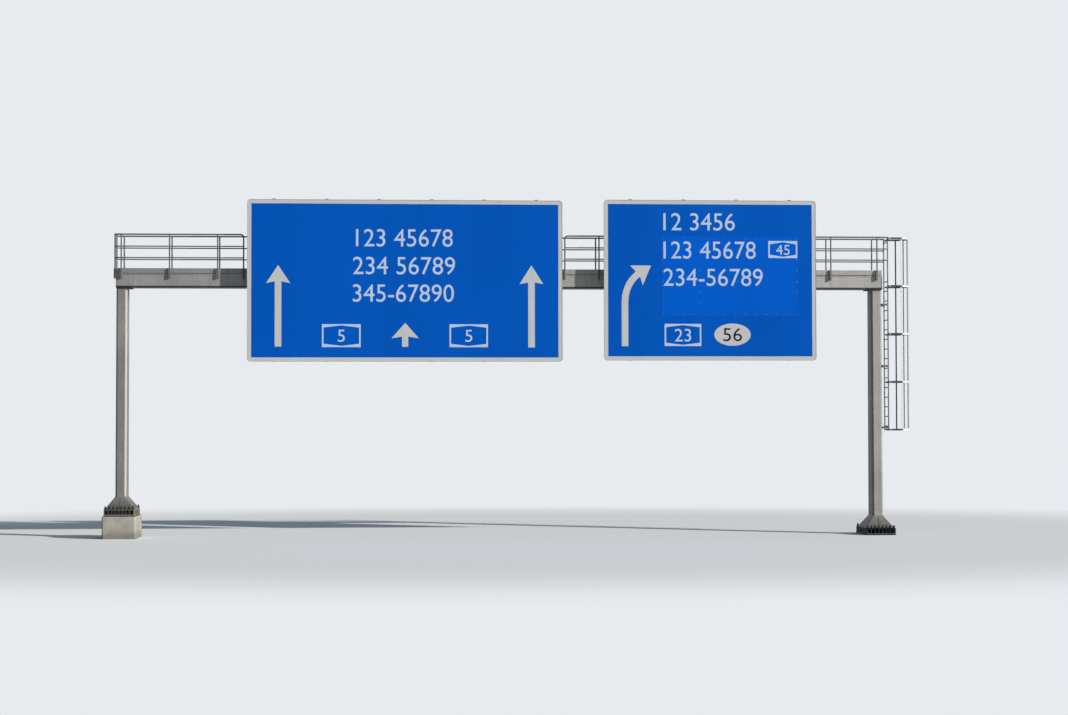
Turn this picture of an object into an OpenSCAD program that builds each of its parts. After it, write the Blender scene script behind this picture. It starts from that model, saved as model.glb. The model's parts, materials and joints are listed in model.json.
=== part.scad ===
// Overhead sign gantry: a box-girder portal with a railed walkway on top, two
// hung sign boards and a caged access ladder at one end.
// Millimetres. X runs along the girder, +Y points to the unsigned side and Z is
// up. The origin is the middle of the right foot's underside.

/* [Portal] */
// Distance between the two column centre lines
span = 21650; // [18000:10:24000]
// Height of the girder's underside above the ground
girder_z = 7100; // [6000:10:8500]
// Depth of the box girder
girder_h = 380; // [320:5:600]
// Width of the box girder
girder_w = 600; // [500:10:900]
// Thickness of the box girder's webs
girder_t = 8; // [6:1:16]
// Thickness of the box girder's top and bottom flanges
flange_t = 18; // [10:1:20]
// Overhang of the flanges outside the webs
flange_out = 12; // [0:1:20]
// Length of the girder past each column's outer face
girder_past = 0; // [0:5:140]
// Length of the corner box inward of each column centre line
corner_in = 350; // [250:10:600]
// Thickness of the girder's end plates
end_plate_t = 12; // [8:1:25]
// From the corner box's seam to the head plate
head_in = 90; // [0:5:120]

/* [Columns] */
// Column width along the girder
column_w = 310; // [260:10:340]
// Column depth across the girder, at the foot
column_d = 600; // [450:10:600]
// Column depth across the girder, at the head
column_head_d = 520; // [400:10:600]
// Corner chamfer of the column section
column_cut = 50; // [30:5:100]
// Plate thickness of the column
column_t = 10; // [6:1:16]
// Thickness of the head plate under the girder
head_t = 25; // [15:1:40]
// Width of the access cover on each column
cover_w = 150; // [100:10:200]
// Height of the access cover
cover_h = 240; // [100:10:400]
// Corner radius of the access cover
cover_r = 20; // [5:5:40]
// Distance of the access cover above the skirt
cover_up = 650; // [300:10:1500]
// Thickness of the access cover
cover_t = 6; // [4:1:10]

/* [Feet] */
// Height of the concrete pedestal under the left foot
pedestal_h = 630; // [300:10:900]
// Concrete margin around the left base plate
pedestal_margin = 40; // [0:5:80]
// Corner chamfer of the pedestal
pedestal_cut = 30; // [10:5:60]
// Base plate size along the girder
base_w = 860; // [820:10:1000]
// Base plate size across the girder
base_d = 1400; // [1300:10:1600]
// Base plate thickness
base_t = 50; // [30:1:80]
// Corner chamfer of the base plates
plate_cut = 20; // [10:5:40]
// Clear height of the anchor chair between its two plates
chair_h = 120; // [100:5:220]
// Thickness of the anchor chair's top plate
chair_t = 30; // [20:1:50]
// Margin of the base plate outside the anchor chair
chair_margin = 10; // [5:1:20]
// Width of the anchor chair's top plate inside the skirt's foot
chair_lip = 120; // [60:5:200]
// Height of the flared skirt above the chair
flare_h = 350; // [200:10:450]
// Skirt width along the girder at its lower edge
flare_w = 830; // [600:10:840]
// Skirt depth across the girder at its lower edge
flare_d = 1080; // [800:10:1090]
// Corner chamfer of the skirt at its lower edge
flare_cut = 12; // [5:1:50]
// Plate thickness of the skirt and ribs
rib_t = 14; // [8:1:20]
// Height of the middle ribs above the skirt
rib_out = 12; // [8:1:30]
// Anchors in each row
anchor_n = 8; // [4:1:8]
// Distance between anchors in a row
anchor_pitch = 110; // [80:2:110]
// Distance of an anchor row from the column centre line
anchor_y = 625; // [600:5:640]
// Diameter of the anchor holes
anchor_hole = 34; // [20:1:40]

/* [Walkway] */
// Bays along the whole railing
bays = 16; // [12:1:18]
// Distance of the end posts past the column centre lines
rail_past = 10; // [0:1:30]
// Length of the rails past the end posts, up to the joint with the next piece
rail_stub = 60; // [40:5:70]
// Height of the top rail above the girder
rail_h = 1140; // [900:10:1200]
// Height of the knee rail above the girder
knee_h = 780; // [600:10:850]
// Height of the foot rail above the girder
low_h = 455; // [300:10:550]
// Diameter of the top rail
rail_d = 42.4; // [38:0.1:60]
// Diameter of the two lower rails
knee_d = 33.7; // [26:0.1:37]
// Diameter of the railing posts
post_d = 40; // [38:0.5:50]
// Distance of the railing's centre plane outside the girder's side
rail_out = 42; // [34:1:80]
// Centre-line radius of the bends at the rail ends
rail_bend = 90; // [60:5:150]
// Height of the toe boards' upper edge above the girder
toe_h = 161; // [100:1:200]
// Joint between the girder and the toe boards
toe_joint = 14; // [0:1:20]
// Thickness of the toe boards
toe_t = 6; // [4:1:10]
// Depth of the deck panels
deck_t = 30; // [20:1:40]
// Joint between deck panels
deck_joint = 8; // [4:1:20]
// Distance of the left end guard past the girder's end plate
end_out = 34; // [34:1:80]
// Distance of the left end guard's two posts from the girder's centre line
end_post_y = 200; // [120:10:230]

/* [Brackets] */
// Thickness of the bracket plates
bracket_t = 8; // [5:1:12]
// Height of a bracket below the girder's top
bracket_drop = 125; // [100:5:280]
// Depth of a bracket's cheek past the post
bracket_lip = 15; // [0:1:30]
// Clearance between a post and its bracket
bracket_gap = 0.3; // [0.1:0.1:0.6]

/* [Front railing ends] */
// From the left front railing's end to the large board
rail_end_left = 127; // [80:1:200]
// From the large board to the start of the middle front railing
rail_mid_start = 107; // [80:1:200]
// From the middle front post to the small board
rail_mid_post = 95; // [70:1:160]
// Length of the middle front railing behind the small board
rail_mid_end = 463; // [300:1:600]
// Length of the right front railing behind the small board
rail_right_start = 352; // [250:1:500]

/* [Sign boards] */
// Height of both boards
sign_h = 4590; // [3000:10:5200]
// Height of the boards' lower edge above the ground
sign_z = 4975; // [4900:5:5200]
// Distance of the sign faces from the girder's centre line
sign_y = 800; // [760:10:1100]
// Thickness of the face sheets
sheet_t = 5; // [3:0.5:8]
// Width of the edge frame seen from the front
rim_w = 14; // [8:1:30]
// Depth of the edge frame
rim_d = 45; // [25:1:80]
// Height of the edge frame in front of the face sheet
rim_lip = 6; // [4:0.5:10]
// Corner radius of the boards
sign_r = 100; // [60:5:200]
// Height of a horizontal back channel
channel_h = 50; // [30:5:80]
// Depth of a horizontal back channel
channel_d = 30; // [20:1:50]
// Wall of a horizontal back channel
channel_t = 4; // [3:0.5:6]
// Horizontal back channels on each board
channel_n = 10; // [6:1:12]
// Flange width of the upright sign posts
upright_w = 100; // [70:5:140]
// Depth of the upright sign posts
upright_d = 120; // [80:5:160]
// Flange thickness of the upright sign posts
upright_t = 8; // [5:0.5:12]
// Length of the upright sign posts above the boards
upright_over = 25; // [0:1:60]
// Side of the square support arms
arm_w = 80; // [60:5:100]
// Wall of the support arms
arm_t = 6; // [4:0.5:8]
// Distance of an arm's centre from the girder's top or underside
arm_inset = 75; // [75:5:100]
// Width of an arm's end plates
arm_plate_w = 140; // [120:5:180]
// Height of an arm's end plates
arm_plate_h = 110; // [100:5:110]

/* [Large sign] */
// Width of the large board
large_w = 8920; // [6000:10:9200]
// Left edge of the large board, from mid-span
large_x = -7268; // [-7600:1:-6800]
// Upright posts behind the large board
large_posts = 6; // [4:1:7]

/* [Small sign] */
// Width of the small board
small_w = 6115; // [4000:5:6400]
// Gap between the two boards
sign_gap = 1185; // [900:5:1600]
// Height of the small board's lower edge above the large board's
small_up = 35; // [0:5:100]
// Upright posts behind the small board
small_posts = 4; // [3:1:5]
// Left edge of the riveted overlay plate, from the small board's edge
overlay_x = 1650; // [1000:10:2000]
// Top of the overlay plate, below the small board's top
overlay_drop = 1050; // [800:10:1500]
// Width of the overlay plate
overlay_w = 3950; // [2000:10:4200]
// Height of the overlay plate
overlay_h = 2260; // [1000:10:2500]
// Thickness of the overlay plate
overlay_t = 3; // [2:0.5:4]

/* [Ladder] */
// Height of the ladder's foot above the ground
ladder_z = 3000; // [2200:5:3600]
// From the top rail's upper side down to the stiles' ends
ladder_drop = 20; // [10:1:35]
// Width of the ladder outside its stiles
ladder_w = 520; // [440:10:560]
// Stile section along the girder
stile_d = 30; // [25:1:60]
// Stile section across the girder
stile_w = 40; // [20:1:50]
// Distance from the column face to the stiles
ladder_out = 173; // [160:1:250]
// Spacing of the rungs
rung_pitch = 280; // [250:1:300]
// Diameter of the rungs
rung_d = 28; // [20:1:30]
// From the girder's top down to the highest rung
rung_drop = 150; // [100:10:250]
// From the stiles' top down to the upper of the two top bars
top_bar_drop = 80; // [40:5:150]
// Spacing of the two top bars
top_bar_pitch = 55; // [40:5:120]
// Centre-line radius of the rails' returns to the ladder
return_bend = 60; // [40:5:75]
// Clearance between the returns and the hoops' legs
return_gap = 1; // [0.5:0.5:3]
// Rows of wall brackets
ladder_rows = 3; // [2:1:4]
// Height of the wall brackets' flats
ladder_flat_h = 60; // [40:5:90]
// From the ladder's foot up to the lowest wall bracket
flat_low = 60; // [0:10:300]
// From the girder's underside down to the highest wall bracket
flat_high = 480; // [100:10:900]

/* [Ladder cage] */
// Hoops of the safety cage
hoop_n = 5; // [3:1:7]
// Outer radius of the hoops
hoop_r = 350; // [320:5:380]
// Distance from the stiles to the middle of the hoops' curve
hoop_x = 300; // [250:5:400]
// Height of a hoop's flat bar
hoop_h = 50; // [30:5:60]
// Thickness of the cage bars
cage_t = 6; // [4:1:10]
// Vertical bars of the cage
cage_bar_n = 5; // [3:1:7]
// Angle from the first cage bar round to the last
cage_angle = 160; // [120:5:170]
// Width of a vertical cage bar
cage_bar_w = 40; // [30:5:60]

/* [Hidden] */

STEEL = [0.56, 0.56, 0.54];
ZINC = [0.62, 0.63, 0.62];
DARK = [0.30, 0.31, 0.32];
BLUE = [0.02, 0.28, 0.62];
CONCRETE = [0.66, 0.64, 0.60];

$fn = 48;
EPS = 1;

girder_top = girder_z + girder_h;
girder_y = girder_w / 2;
web_y = girder_y - flange_out;
column_face = span / 2 + column_w / 2;
girder_x = column_face + girder_past;
seam_x = span / 2 - corner_in;
chair_top = base_t + chair_h + chair_t;
column_foot = chair_top + flare_h;
column_top = girder_z - head_t;
chair_w = base_w - 2 * chair_margin;
chair_d = base_d - 2 * chair_margin;
rail_y = girder_y + rail_out;
rail_x = span / 2 + rail_past;
bay = 2 * rail_x / bays;
grid_xs = [for (i = [0 : bays]) -rail_x + i * bay];
guard_x = girder_x + end_plate_t + end_out;
guard_bend = min(rail_bend, guard_x - rail_x - rail_stub - EPS);
small_x = large_x + large_w + sign_gap;
front_left_end = large_x - rail_end_left;
front_mid_x0 = large_x + large_w + rail_mid_start;
front_mid_post = small_x - rail_mid_post;
front_mid_x1 = small_x + rail_mid_end;
front_right_x0 = small_x + small_w - rail_right_start;
front_left_xs = [for (x = grid_xs) if (x < front_left_end - rail_d) x];
front_right_xs = [for (x = grid_xs) if (x > front_right_x0 + rail_d) x];
small_z = sign_z + small_up;
sheet_y = -sign_y;
channel_y = sheet_y + sheet_t;
upright_y = channel_y + channel_d;
arm_y = upright_y + upright_d;
ladder_x = column_face + ladder_out;
ladder_mid = ladder_x + stile_d / 2;
ladder_top = girder_top + rail_h - ladder_drop;
ladder_h = ladder_top - ladder_z;
stile_y = ladder_w / 2;
stile_in = stile_y - stile_w;
rung_top = girder_top - rung_drop;
rung_n = floor((rung_top - ladder_z - rung_d) / rung_pitch) + 1;
hoop_cx = ladder_x + stile_d + hoop_x;
hoop_gap = (ladder_h - hoop_h) / (hoop_n - 1);

// Everything above the feet is laid out from mid-span.
module from_mid() translate([-span / 2, 0, 0]) children();

// The left foot (side -1) stands on the pedestal, the right one on the ground.
module at_foot(side) {
    translate([side < 0 ? -span : 0, 0, side < 0 ? pedestal_h : 0]) children();
}

// Rectangle about the middle, with its four corners cut at 45 degrees.
module cut_rect(w, d, cut) {
    polygon([[w / 2 - cut, -d / 2], [w / 2, cut - d / 2], [w / 2, d / 2 - cut],
        [w / 2 - cut, d / 2], [cut - w / 2, d / 2], [-w / 2, d / 2 - cut],
        [-w / 2, cut - d / 2], [cut - w / 2, -d / 2]]);
}

// The same eight corners as a ring at height z.
function cut_ring(w, d, cut, z) = [[w / 2 - cut, -d / 2, z], [w / 2, cut - d / 2, z],
    [w / 2, d / 2 - cut, z], [w / 2 - cut, d / 2, z], [cut - w / 2, d / 2, z],
    [-w / 2, d / 2 - cut, z], [-w / 2, cut - d / 2, z], [cut - w / 2, -d / 2, z]];

// Straight-sided loft between two eight-corner rings.
module loft(low, high) {
    n = len(low);
    sides = [for (i = [0 : n - 1]) let (j = (i + 1) % n)
        each [[i, i + n, j + n], [i, j + n, j]]];
    polyhedron(points = concat(low, high), faces = concat(
        [[for (i = [0 : n - 1]) i]], [[for (i = [n - 1 : -1 : 0]) i + n]], sides));
}

// Rectangle from the origin with rounded corners.
module round_rect(w, h, r) {
    translate([r, 0]) square([w - 2 * r, h]);
    translate([0, r]) square([w, h - 2 * r]);
    for (x = [r, w - r], y = [r, h - r]) translate([x, y]) circle(r);
}

// A flat outline drawn in X and Z, thickened towards +Y from y.
module upright_plate(y, t) {
    translate([0, y + t, 0]) rotate([90, 0, 0]) linear_extrude(t) children();
}

// Round bar along X.
module bar_x(x0, x1, y, z, d) {
    translate([x0, y, z]) rotate([0, 90, 0]) cylinder(h = x1 - x0, d = d);
}

// Round bar along Y.
module bar_y(y0, y1, x, z, d) {
    translate([x, y1, z]) rotate([90, 0, 0]) cylinder(h = y1 - y0, d = d);
}

// Quarter bend about Z: it leaves the origin along +X and turns to +Y.
module bend_flat(r, d) {
    translate([0, r, 0]) rotate([0, 0, -90]) rotate_extrude(angle = 90)
        translate([r, 0]) circle(d = d);
}

// Quarter bend standing up: it leaves the origin along +X and turns down.
module bend_down(r, d) {
    rotate([-90, 0, 0]) bend_flat(r, d);
}

module left_pedestal() {
    color(CONCRETE) translate([-span, 0, 0]) linear_extrude(pedestal_h)
        cut_rect(base_w + 2 * pedestal_margin, base_d + 2 * pedestal_margin, pedestal_cut);
}

module anchor_places() {
    for (side = [-1, 1], i = [0 : anchor_n - 1])
        translate([(i - (anchor_n - 1) / 2) * anchor_pitch, side * anchor_y]) children();
}

module base_plate(side) {
    color(DARK) at_foot(side) linear_extrude(base_t) difference() {
        cut_rect(base_w, base_d, plate_cut);
        anchor_places() circle(d = anchor_hole);
    }
}

// Ribs stand on the base plate between the anchors and carry the top plates;
// a ring wall takes the skirt's load down to the base plate.
module anchor_chair(side) {
    color(DARK) at_foot(side) translate([0, 0, base_t]) {
        linear_extrude(chair_h) {
            difference() {
                square([flare_w, flare_d], center = true);
                square([flare_w - 2 * rib_t, flare_d - 2 * rib_t], center = true);
            }
            for (s = [-1, 1], i = [0 : anchor_n])
                translate([(i - anchor_n / 2) * min(anchor_pitch,
                    (chair_w - rib_t) / anchor_n) - rib_t / 2,
                    s > 0 ? flare_d / 2 - EPS : -chair_d / 2])
                    square([rib_t, chair_d / 2 - flare_d / 2 + EPS]);
        }
        translate([0, 0, chair_h]) linear_extrude(chair_t) difference() {
            square([chair_w, chair_d], center = true);
            square([flare_w - 2 * chair_lip, flare_d - 2 * chair_lip], center = true);
            anchor_places() circle(d = anchor_hole);
        }
    }
}

// Sloping skirt from the chair up to the column, open inside, with a middle rib
// on its front and rear slopes.
module foot_skirt(side) {
    color(STEEL) at_foot(side) translate([0, 0, chair_top]) {
        difference() {
            loft(cut_ring(flare_w, flare_d, flare_cut, 0),
                cut_ring(column_w, column_d, column_cut, flare_h));
            translate([0, 0, -EPS])
                loft(cut_ring(flare_w - 2 * rib_t, flare_d - 2 * rib_t,
                    max(flare_cut - rib_t / 2, EPS), 0),
                    cut_ring(column_w - 3 * rib_t, column_d - 3 * rib_t,
                        column_cut - rib_t / 2, flare_h + 2 * EPS));
        }
        for (s = [0, 180]) rotate([0, 0, s]) translate([-rib_t / 2, 0, 0])
            rotate([90, 0, 90]) linear_extrude(rib_t) polygon([[flare_d / 2 - rib_t, 0],
                [flare_d / 2 + rib_out, 0], [flare_d / 2 + rib_out, rib_out],
                [column_d / 2 + rib_out, flare_h],
                [column_d / 2 - rib_t / 4, flare_h]]);
    }
}

// The column narrows towards its head, seen from the end of the gantry.
module column(side) {
    foot_z = side < 0 ? pedestal_h + column_foot : column_foot;
    color(STEEL) translate([side < 0 ? -span : 0, 0, foot_z])
        difference() {
            loft(cut_ring(column_w, column_d, column_cut, 0),
                cut_ring(column_w, column_head_d, column_cut, column_top - foot_z));
            loft(column_inside(column_d, -EPS), column_inside(column_head_d, column_top - foot_z + EPS));
        }
}

function column_inside(d, z) = cut_ring(column_w - 2 * column_t, d - 2 * column_t,
    column_cut - column_t / 2, z);

// Bolted cover over the hand hole on the column's outer face.
module access_covers() {
    color(ZINC) for (side = [-1, 1]) at_foot(side)
        translate([side * (column_w + cover_t) / 2, 0, column_foot + cover_up])
        rotate([90, 0, 90]) linear_extrude(cover_t, center = true)
            translate([-cover_w / 2, 0]) round_rect(cover_w, cover_h, cover_r);
}

module head_plates() {
    color(STEEL) from_mid() for (x = [seam_x + head_in, -girder_x])
        translate([x, -girder_y, column_top])
            cube([girder_x - seam_x - head_in, girder_w, head_t]);
}

// Welded box section along X, from x0 to x1: two webs a little inside the edges
// of the top and bottom flanges.
module box_tube(x0, x1) {
    translate([x0, 0, girder_z]) rotate([90, 0, 90]) linear_extrude(x1 - x0)
        difference() {
            union() {
                translate([-web_y, 0]) square([2 * web_y, girder_h]);
                for (z = [0, girder_h - flange_t]) translate([-girder_y, z])
                    square([girder_w, flange_t]);
            }
            translate([girder_t - web_y, flange_t])
                square([2 * (web_y - girder_t), girder_h - 2 * flange_t]);
        }
}

module girder() {
    color(STEEL) from_mid() box_tube(-seam_x, seam_x);
}

module corner_box(side) {
    color(STEEL) from_mid() box_tube(side > 0 ? seam_x : -girder_x,
        side > 0 ? girder_x : -seam_x);
}

module end_plates() {
    color(STEEL) from_mid() for (x = [girder_x, -girder_x - end_plate_t])
        translate([x, -girder_y, girder_z]) cube([end_plate_t, girder_w, girder_h]);
}

// One panel a bay, inside the toe boards.
module walkway_deck() {
    width = girder_w - 4 * toe_t;
    color(ZINC) from_mid() for (i = [0 : bays - 1])
        translate([-rail_x + i * bay + deck_joint / 2, -width / 2, girder_top])
            cube([bay - deck_joint, width, deck_t]);
}

module toe_board(x0, x1, side) {
    color(ZINC) from_mid()
        translate([x0, side > 0 ? girder_y - toe_t : -girder_y, girder_top + toe_joint])
        cube([x1 - x0, toe_t, toe_h - toe_joint]);
}

module rear_toe_board() toe_board(-girder_x, girder_x, 1);

module front_toe_board() toe_board(-girder_x, girder_x, -1);

module end_toe_board() {
    color(ZINC) from_mid() translate([-girder_x, toe_t - girder_y, girder_top + toe_joint])
        cube([toe_t, girder_w - 2 * toe_t, toe_h - toe_joint]);
}

module rail_post(x, y, top) {
    foot = girder_top - bracket_drop;
    translate([x, y, foot]) cylinder(h = top - foot, d = post_d);
}

// Three rails between x0 and x1 on posts, with bent returns where asked.
module railing(x0, x1, posts, y, bend_start = false, bend_end = false) {
    top = girder_top + rail_h - rail_d / 2;
    start = bend_start ? x0 + rail_bend : x0;
    end = bend_end ? x1 - rail_bend : x1;
    bar_x(start, end, y, top, rail_d);
    for (z = [knee_h, low_h]) bar_x(x0, x1, y, girder_top + z, knee_d);
    for (x = posts) rail_post(x, y, top);
    if (bend_start) {
        translate([start, y, top]) mirror([1, 0, 0]) bend_down(rail_bend, rail_d);
        translate([x0, y, 0]) rail_end_post(top - rail_bend);
    }
    if (bend_end) {
        translate([end, y, top]) bend_down(rail_bend, rail_d);
        translate([x1, y, 0]) rail_end_post(top - rail_bend);
    }
}

// End post in the top rail's own tube, running up into the bend.
module rail_end_post(top) {
    foot = girder_top - bracket_drop;
    translate([0, 0, foot]) cylinder(h = top - foot, d = rail_d);
}

// Heights and diameters of the three rails.
function rails() = [[girder_top + rail_h - rail_d / 2, rail_d], [girder_top + knee_h, knee_d],
    [girder_top + low_h, knee_d]];

// Bent tubes that take the railings' rails on to the ladder's stiles.
module ladder_returns() {
    x = ladder_x + stile_d - rail_d / 2 - return_gap;
    r = min(return_bend, rail_y - stile_y - EPS);
    color(ZINC) from_mid() for (side = [0, 1], zd = rails()) mirror([0, side, 0]) {
        bar_x(rail_x + rail_stub, x - r, -rail_y, zd[0], zd[1]);
        translate([x - r, -rail_y, zd[0]]) bend_flat(r, zd[1]);
        bar_y(r - rail_y, -stile_y, x, zd[0], zd[1]);
    }
}

module rear_railing() {
    color(ZINC) from_mid()
        railing(-rail_x - rail_stub, rail_x + rail_stub, grid_xs, rail_y);
}

module front_railing_left() {
    color(ZINC) from_mid()
        railing(-rail_x - rail_stub, front_left_end, front_left_xs, -rail_y, bend_end = true);
}

module front_railing_middle() {
    color(ZINC) from_mid() railing(front_mid_x0, front_mid_x1, [front_mid_post], -rail_y,
        bend_start = true, bend_end = true);
}

module front_railing_right() {
    color(ZINC) from_mid()
        railing(front_right_x0, rail_x + rail_stub, front_right_xs, -rail_y, bend_start = true);
}

// Three bent rails round the left end, on two posts.
module left_end_railing() {
    reach = guard_x - rail_x - rail_stub - guard_bend;
    color(ZINC) from_mid() {
        for (zd = rails()) {
            bar_y(guard_bend - rail_y, rail_y - guard_bend, -guard_x, zd[0], zd[1]);
            for (s = [0, 1]) mirror([0, s, 0])
                translate([guard_bend - guard_x, -rail_y, zd[0]]) {
                    mirror([1, 0, 0]) bend_flat(guard_bend, zd[1]);
                    bar_x(0, reach, 0, 0, zd[1]);
                }
        }
        for (y = [-end_post_y, end_post_y])
            rail_post(-guard_x, y, girder_top + rail_h - rail_d / 2);
    }
}

// Angle that holds a post against its cheek, from below the girder's top to the
// toe board's upper edge, for a post whose centre lies out from the back plate.
module rail_bracket(out) {
    height = bracket_drop + toe_h;
    inner = rail_d / 2 + bracket_gap;
    translate([-inner - bracket_t, 0, 0]) cube([2 * (inner + bracket_t), bracket_t, height]);
    translate([-inner - bracket_t, 0, 0])
        cube([bracket_t, out + post_d / 2 + bracket_lip, height]);
}

module side_bracket(x, side) {
    translate([x, side * girder_y, girder_top - bracket_drop])
        mirror([0, side < 0 ? 1 : 0, 0]) rail_bracket(rail_out);
}

module rear_rail_brackets() {
    color(STEEL) from_mid() for (x = grid_xs) side_bracket(x, 1);
}

module front_rail_brackets() {
    color(STEEL) from_mid()
        for (x = concat(front_left_xs, front_right_xs, [front_left_end, front_mid_x0,
            front_mid_post, front_mid_x1, front_right_x0])) side_bracket(x, -1);
}

module end_rail_brackets() {
    color(STEEL) from_mid() for (y = [-end_post_y, end_post_y])
        translate([-girder_x - end_plate_t, y, girder_top - bracket_drop])
            rotate([0, 0, 90]) rail_bracket(end_out);
}

module sign_sheet(x, w, z) {
    color(BLUE) from_mid() translate([x, 0, z]) upright_plate(sheet_y, sheet_t)
        translate([rim_w, rim_w]) round_rect(w - 2 * rim_w, sign_h - 2 * rim_w, sign_r - rim_w);
}

module sign_rim(x, w, z) {
    color(ZINC) from_mid() translate([x, 0, z]) upright_plate(sheet_y - rim_lip, rim_d)
        difference() {
            round_rect(w, sign_h, sign_r);
            translate([rim_w, rim_w])
                round_rect(w - 2 * rim_w, sign_h - 2 * rim_w, sign_r - rim_w);
        }
}

function channel_zs(z) = [for (i = [0 : channel_n - 1])
    z + sign_r + channel_h + i * (sign_h - 2 * sign_r - 2 * channel_h) / (channel_n - 1)];

// Lipped channels that stiffen the sheet and clamp to the uprights.
module sign_channels(x, w, sign_low) {
    t = channel_t;
    h = channel_h;
    color(ZINC) from_mid() for (z = channel_zs(sign_low))
        translate([x + rim_w, channel_y, z - h / 2]) rotate([90, 0, 90])
            linear_extrude(w - 2 * rim_w) polygon([[0, 0], [channel_d, 0], [channel_d, h / 3],
                [channel_d - t, h / 3], [channel_d - t, t], [t, t], [t, h - t],
                [channel_d - t, h - t], [channel_d - t, 2 * h / 3], [channel_d, 2 * h / 3],
                [channel_d, h], [0, h]]);
}

function upright_xs(x, w, n) = [for (i = [0 : n - 1]) x + (i + 0.5) * w / n];

// I-section posts over a board's whole height and a little above it.
module sign_uprights(x, w, n, z) {
    a = upright_w / 2;
    t = upright_t;
    color(ZINC) from_mid() for (ux = upright_xs(x, w, n))
        translate([ux, upright_y, z]) linear_extrude(sign_h + upright_over) {
            translate([-a, 0]) square([upright_w, t]);
            translate([-t / 2, t]) square([t, upright_d - 2 * t]);
            translate([-a, upright_d - t]) square([upright_w, t]);
        }
}

// Square tube arms with a plate at each end, from the girder's web to the uprights.
module sign_arms(x, w, n) {
    reach = -web_y - arm_y;
    color(STEEL) from_mid() for (ux = upright_xs(x, w, n),
        z = [girder_z + arm_inset, girder_top - arm_inset])
        translate([ux, arm_y, z]) rotate([-90, 0, 0]) {
            linear_extrude(reach) difference() {
                square(arm_w, center = true);
                square(arm_w - 2 * arm_t, center = true);
            }
            for (y = [0, reach - bracket_t]) translate([0, 0, y]) linear_extrude(bracket_t)
                square([arm_plate_w, arm_plate_h], center = true);
        }
}

module small_sign_overlay() {
    color(BLUE) from_mid()
        translate([small_x + overlay_x, 0, small_z + sign_h - overlay_drop - overlay_h])
        upright_plate(sheet_y - overlay_t, overlay_t) square([overlay_w, overlay_h]);
}

module ladder_stiles() {
    color(ZINC) from_mid() for (y = [-stile_y, stile_in])
        translate([ladder_x, y, ladder_z]) cube([stile_d, stile_w, ladder_h]);
}

// Bars between the stiles' inner faces: the rungs, counted down from the girder,
// and two at the stiles' top over the way through to the walkway.
module ladder_rungs() {
    rungs = [for (i = [0 : rung_n - 1]) rung_top - i * rung_pitch];
    tops = [for (i = [0, 1]) ladder_top - top_bar_drop - i * top_bar_pitch];
    color(ZINC) from_mid() for (z = concat(rungs, tops))
        bar_y(-stile_in, stile_in, ladder_mid, z, rung_d);
}

// A flat across the column face with an arm to each stile.
module ladder_brackets() {
    low = ladder_z + flat_low;
    high = girder_z - flat_high;
    color(ZINC) from_mid() for (i = [0 : ladder_rows - 1])
        translate([column_face, 0, low + i * (high - low) / (ladder_rows - 1)]) {
            translate([0, -stile_y, 0]) cube([bracket_t, ladder_w, ladder_flat_h]);
            for (y = [-stile_y, stile_y - bracket_t]) translate([0, y, 0])
                cube([ladder_out, bracket_t, ladder_flat_h]);
        }
}

// Outline of a hoop: straight legs and a half round, at radius r.
module hoop_outline(r, back) {
    intersection() {
        circle(r, $fn = 64);
        translate([0, -r]) square([r, 2 * r]);
    }
    translate([-back, -r]) square([back, 2 * r]);
}

module cage_hoops() {
    color(ZINC) from_mid() for (i = [0 : hoop_n - 1])
        translate([hoop_cx, 0, ladder_z + i * hoop_gap]) linear_extrude(hoop_h) {
            difference() {
                hoop_outline(hoop_r, hoop_x);
                hoop_outline(hoop_r - cage_t, hoop_x + EPS);
            }
            for (s = [-1, 1]) translate([-hoop_x, s > 0 ? stile_in : -hoop_r])
                square([cage_t, hoop_r - stile_in]);
        }
}

// Vertical flats inside the hoops.
module cage_bars() {
    half = cage_bar_w / 2;
    r = sqrt(pow(hoop_r - cage_t - 0.2, 2) - pow(half, 2));
    color(ZINC) from_mid() for (i = [0 : cage_bar_n - 1])
        translate([hoop_cx, 0, ladder_z])
            rotate([0, 0, (i - (cage_bar_n - 1) / 2) * cage_angle / (cage_bar_n - 1)])
            translate([r - cage_t, -half, 0]) cube([cage_t, cage_bar_w, ladder_h]);
}

left_pedestal();
base_plate(-1);  // left_base_plate
base_plate(1);  // right_base_plate
anchor_chair(-1);  // left_anchor_chair
anchor_chair(1);  // right_anchor_chair
foot_skirt(-1);  // left_foot_skirt
foot_skirt(1);  // right_foot_skirt
column(-1);  // left_column
column(1);  // right_column
access_covers();
head_plates();
girder();
corner_box(-1);  // left_corner_box
corner_box(1);  // right_corner_box
end_plates();
walkway_deck();
rear_toe_board();
front_toe_board();
end_toe_board();
rear_railing();
front_railing_left();
front_railing_middle();
front_railing_right();
left_end_railing();
ladder_returns();
rear_rail_brackets();
front_rail_brackets();
end_rail_brackets();
sign_sheet(large_x, large_w, sign_z);  // large_sign_sheet
sign_rim(large_x, large_w, sign_z);  // large_sign_rim
sign_channels(large_x, large_w, sign_z);  // large_sign_channels
sign_uprights(large_x, large_w, large_posts, sign_z);  // large_sign_uprights
sign_arms(large_x, large_w, large_posts);  // large_sign_arms
sign_sheet(small_x, small_w, small_z);  // small_sign_sheet
sign_rim(small_x, small_w, small_z);  // small_sign_rim
sign_channels(small_x, small_w, small_z);  // small_sign_channels
sign_uprights(small_x, small_w, small_posts, small_z);  // small_sign_uprights
sign_arms(small_x, small_w, small_posts);  // small_sign_arms
small_sign_overlay();
ladder_stiles();
ladder_rungs();
ladder_brackets();
cage_hoops();
cage_bars();
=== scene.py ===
"""Looks of the overhead sign gantry: sheeting, arrows, grating, bolts, welds and
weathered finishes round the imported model. Metres, in the model's own frame: the
origin under the right foot, X along the girder, +Y to the unsigned side, Z up."""

import json
import math

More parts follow.
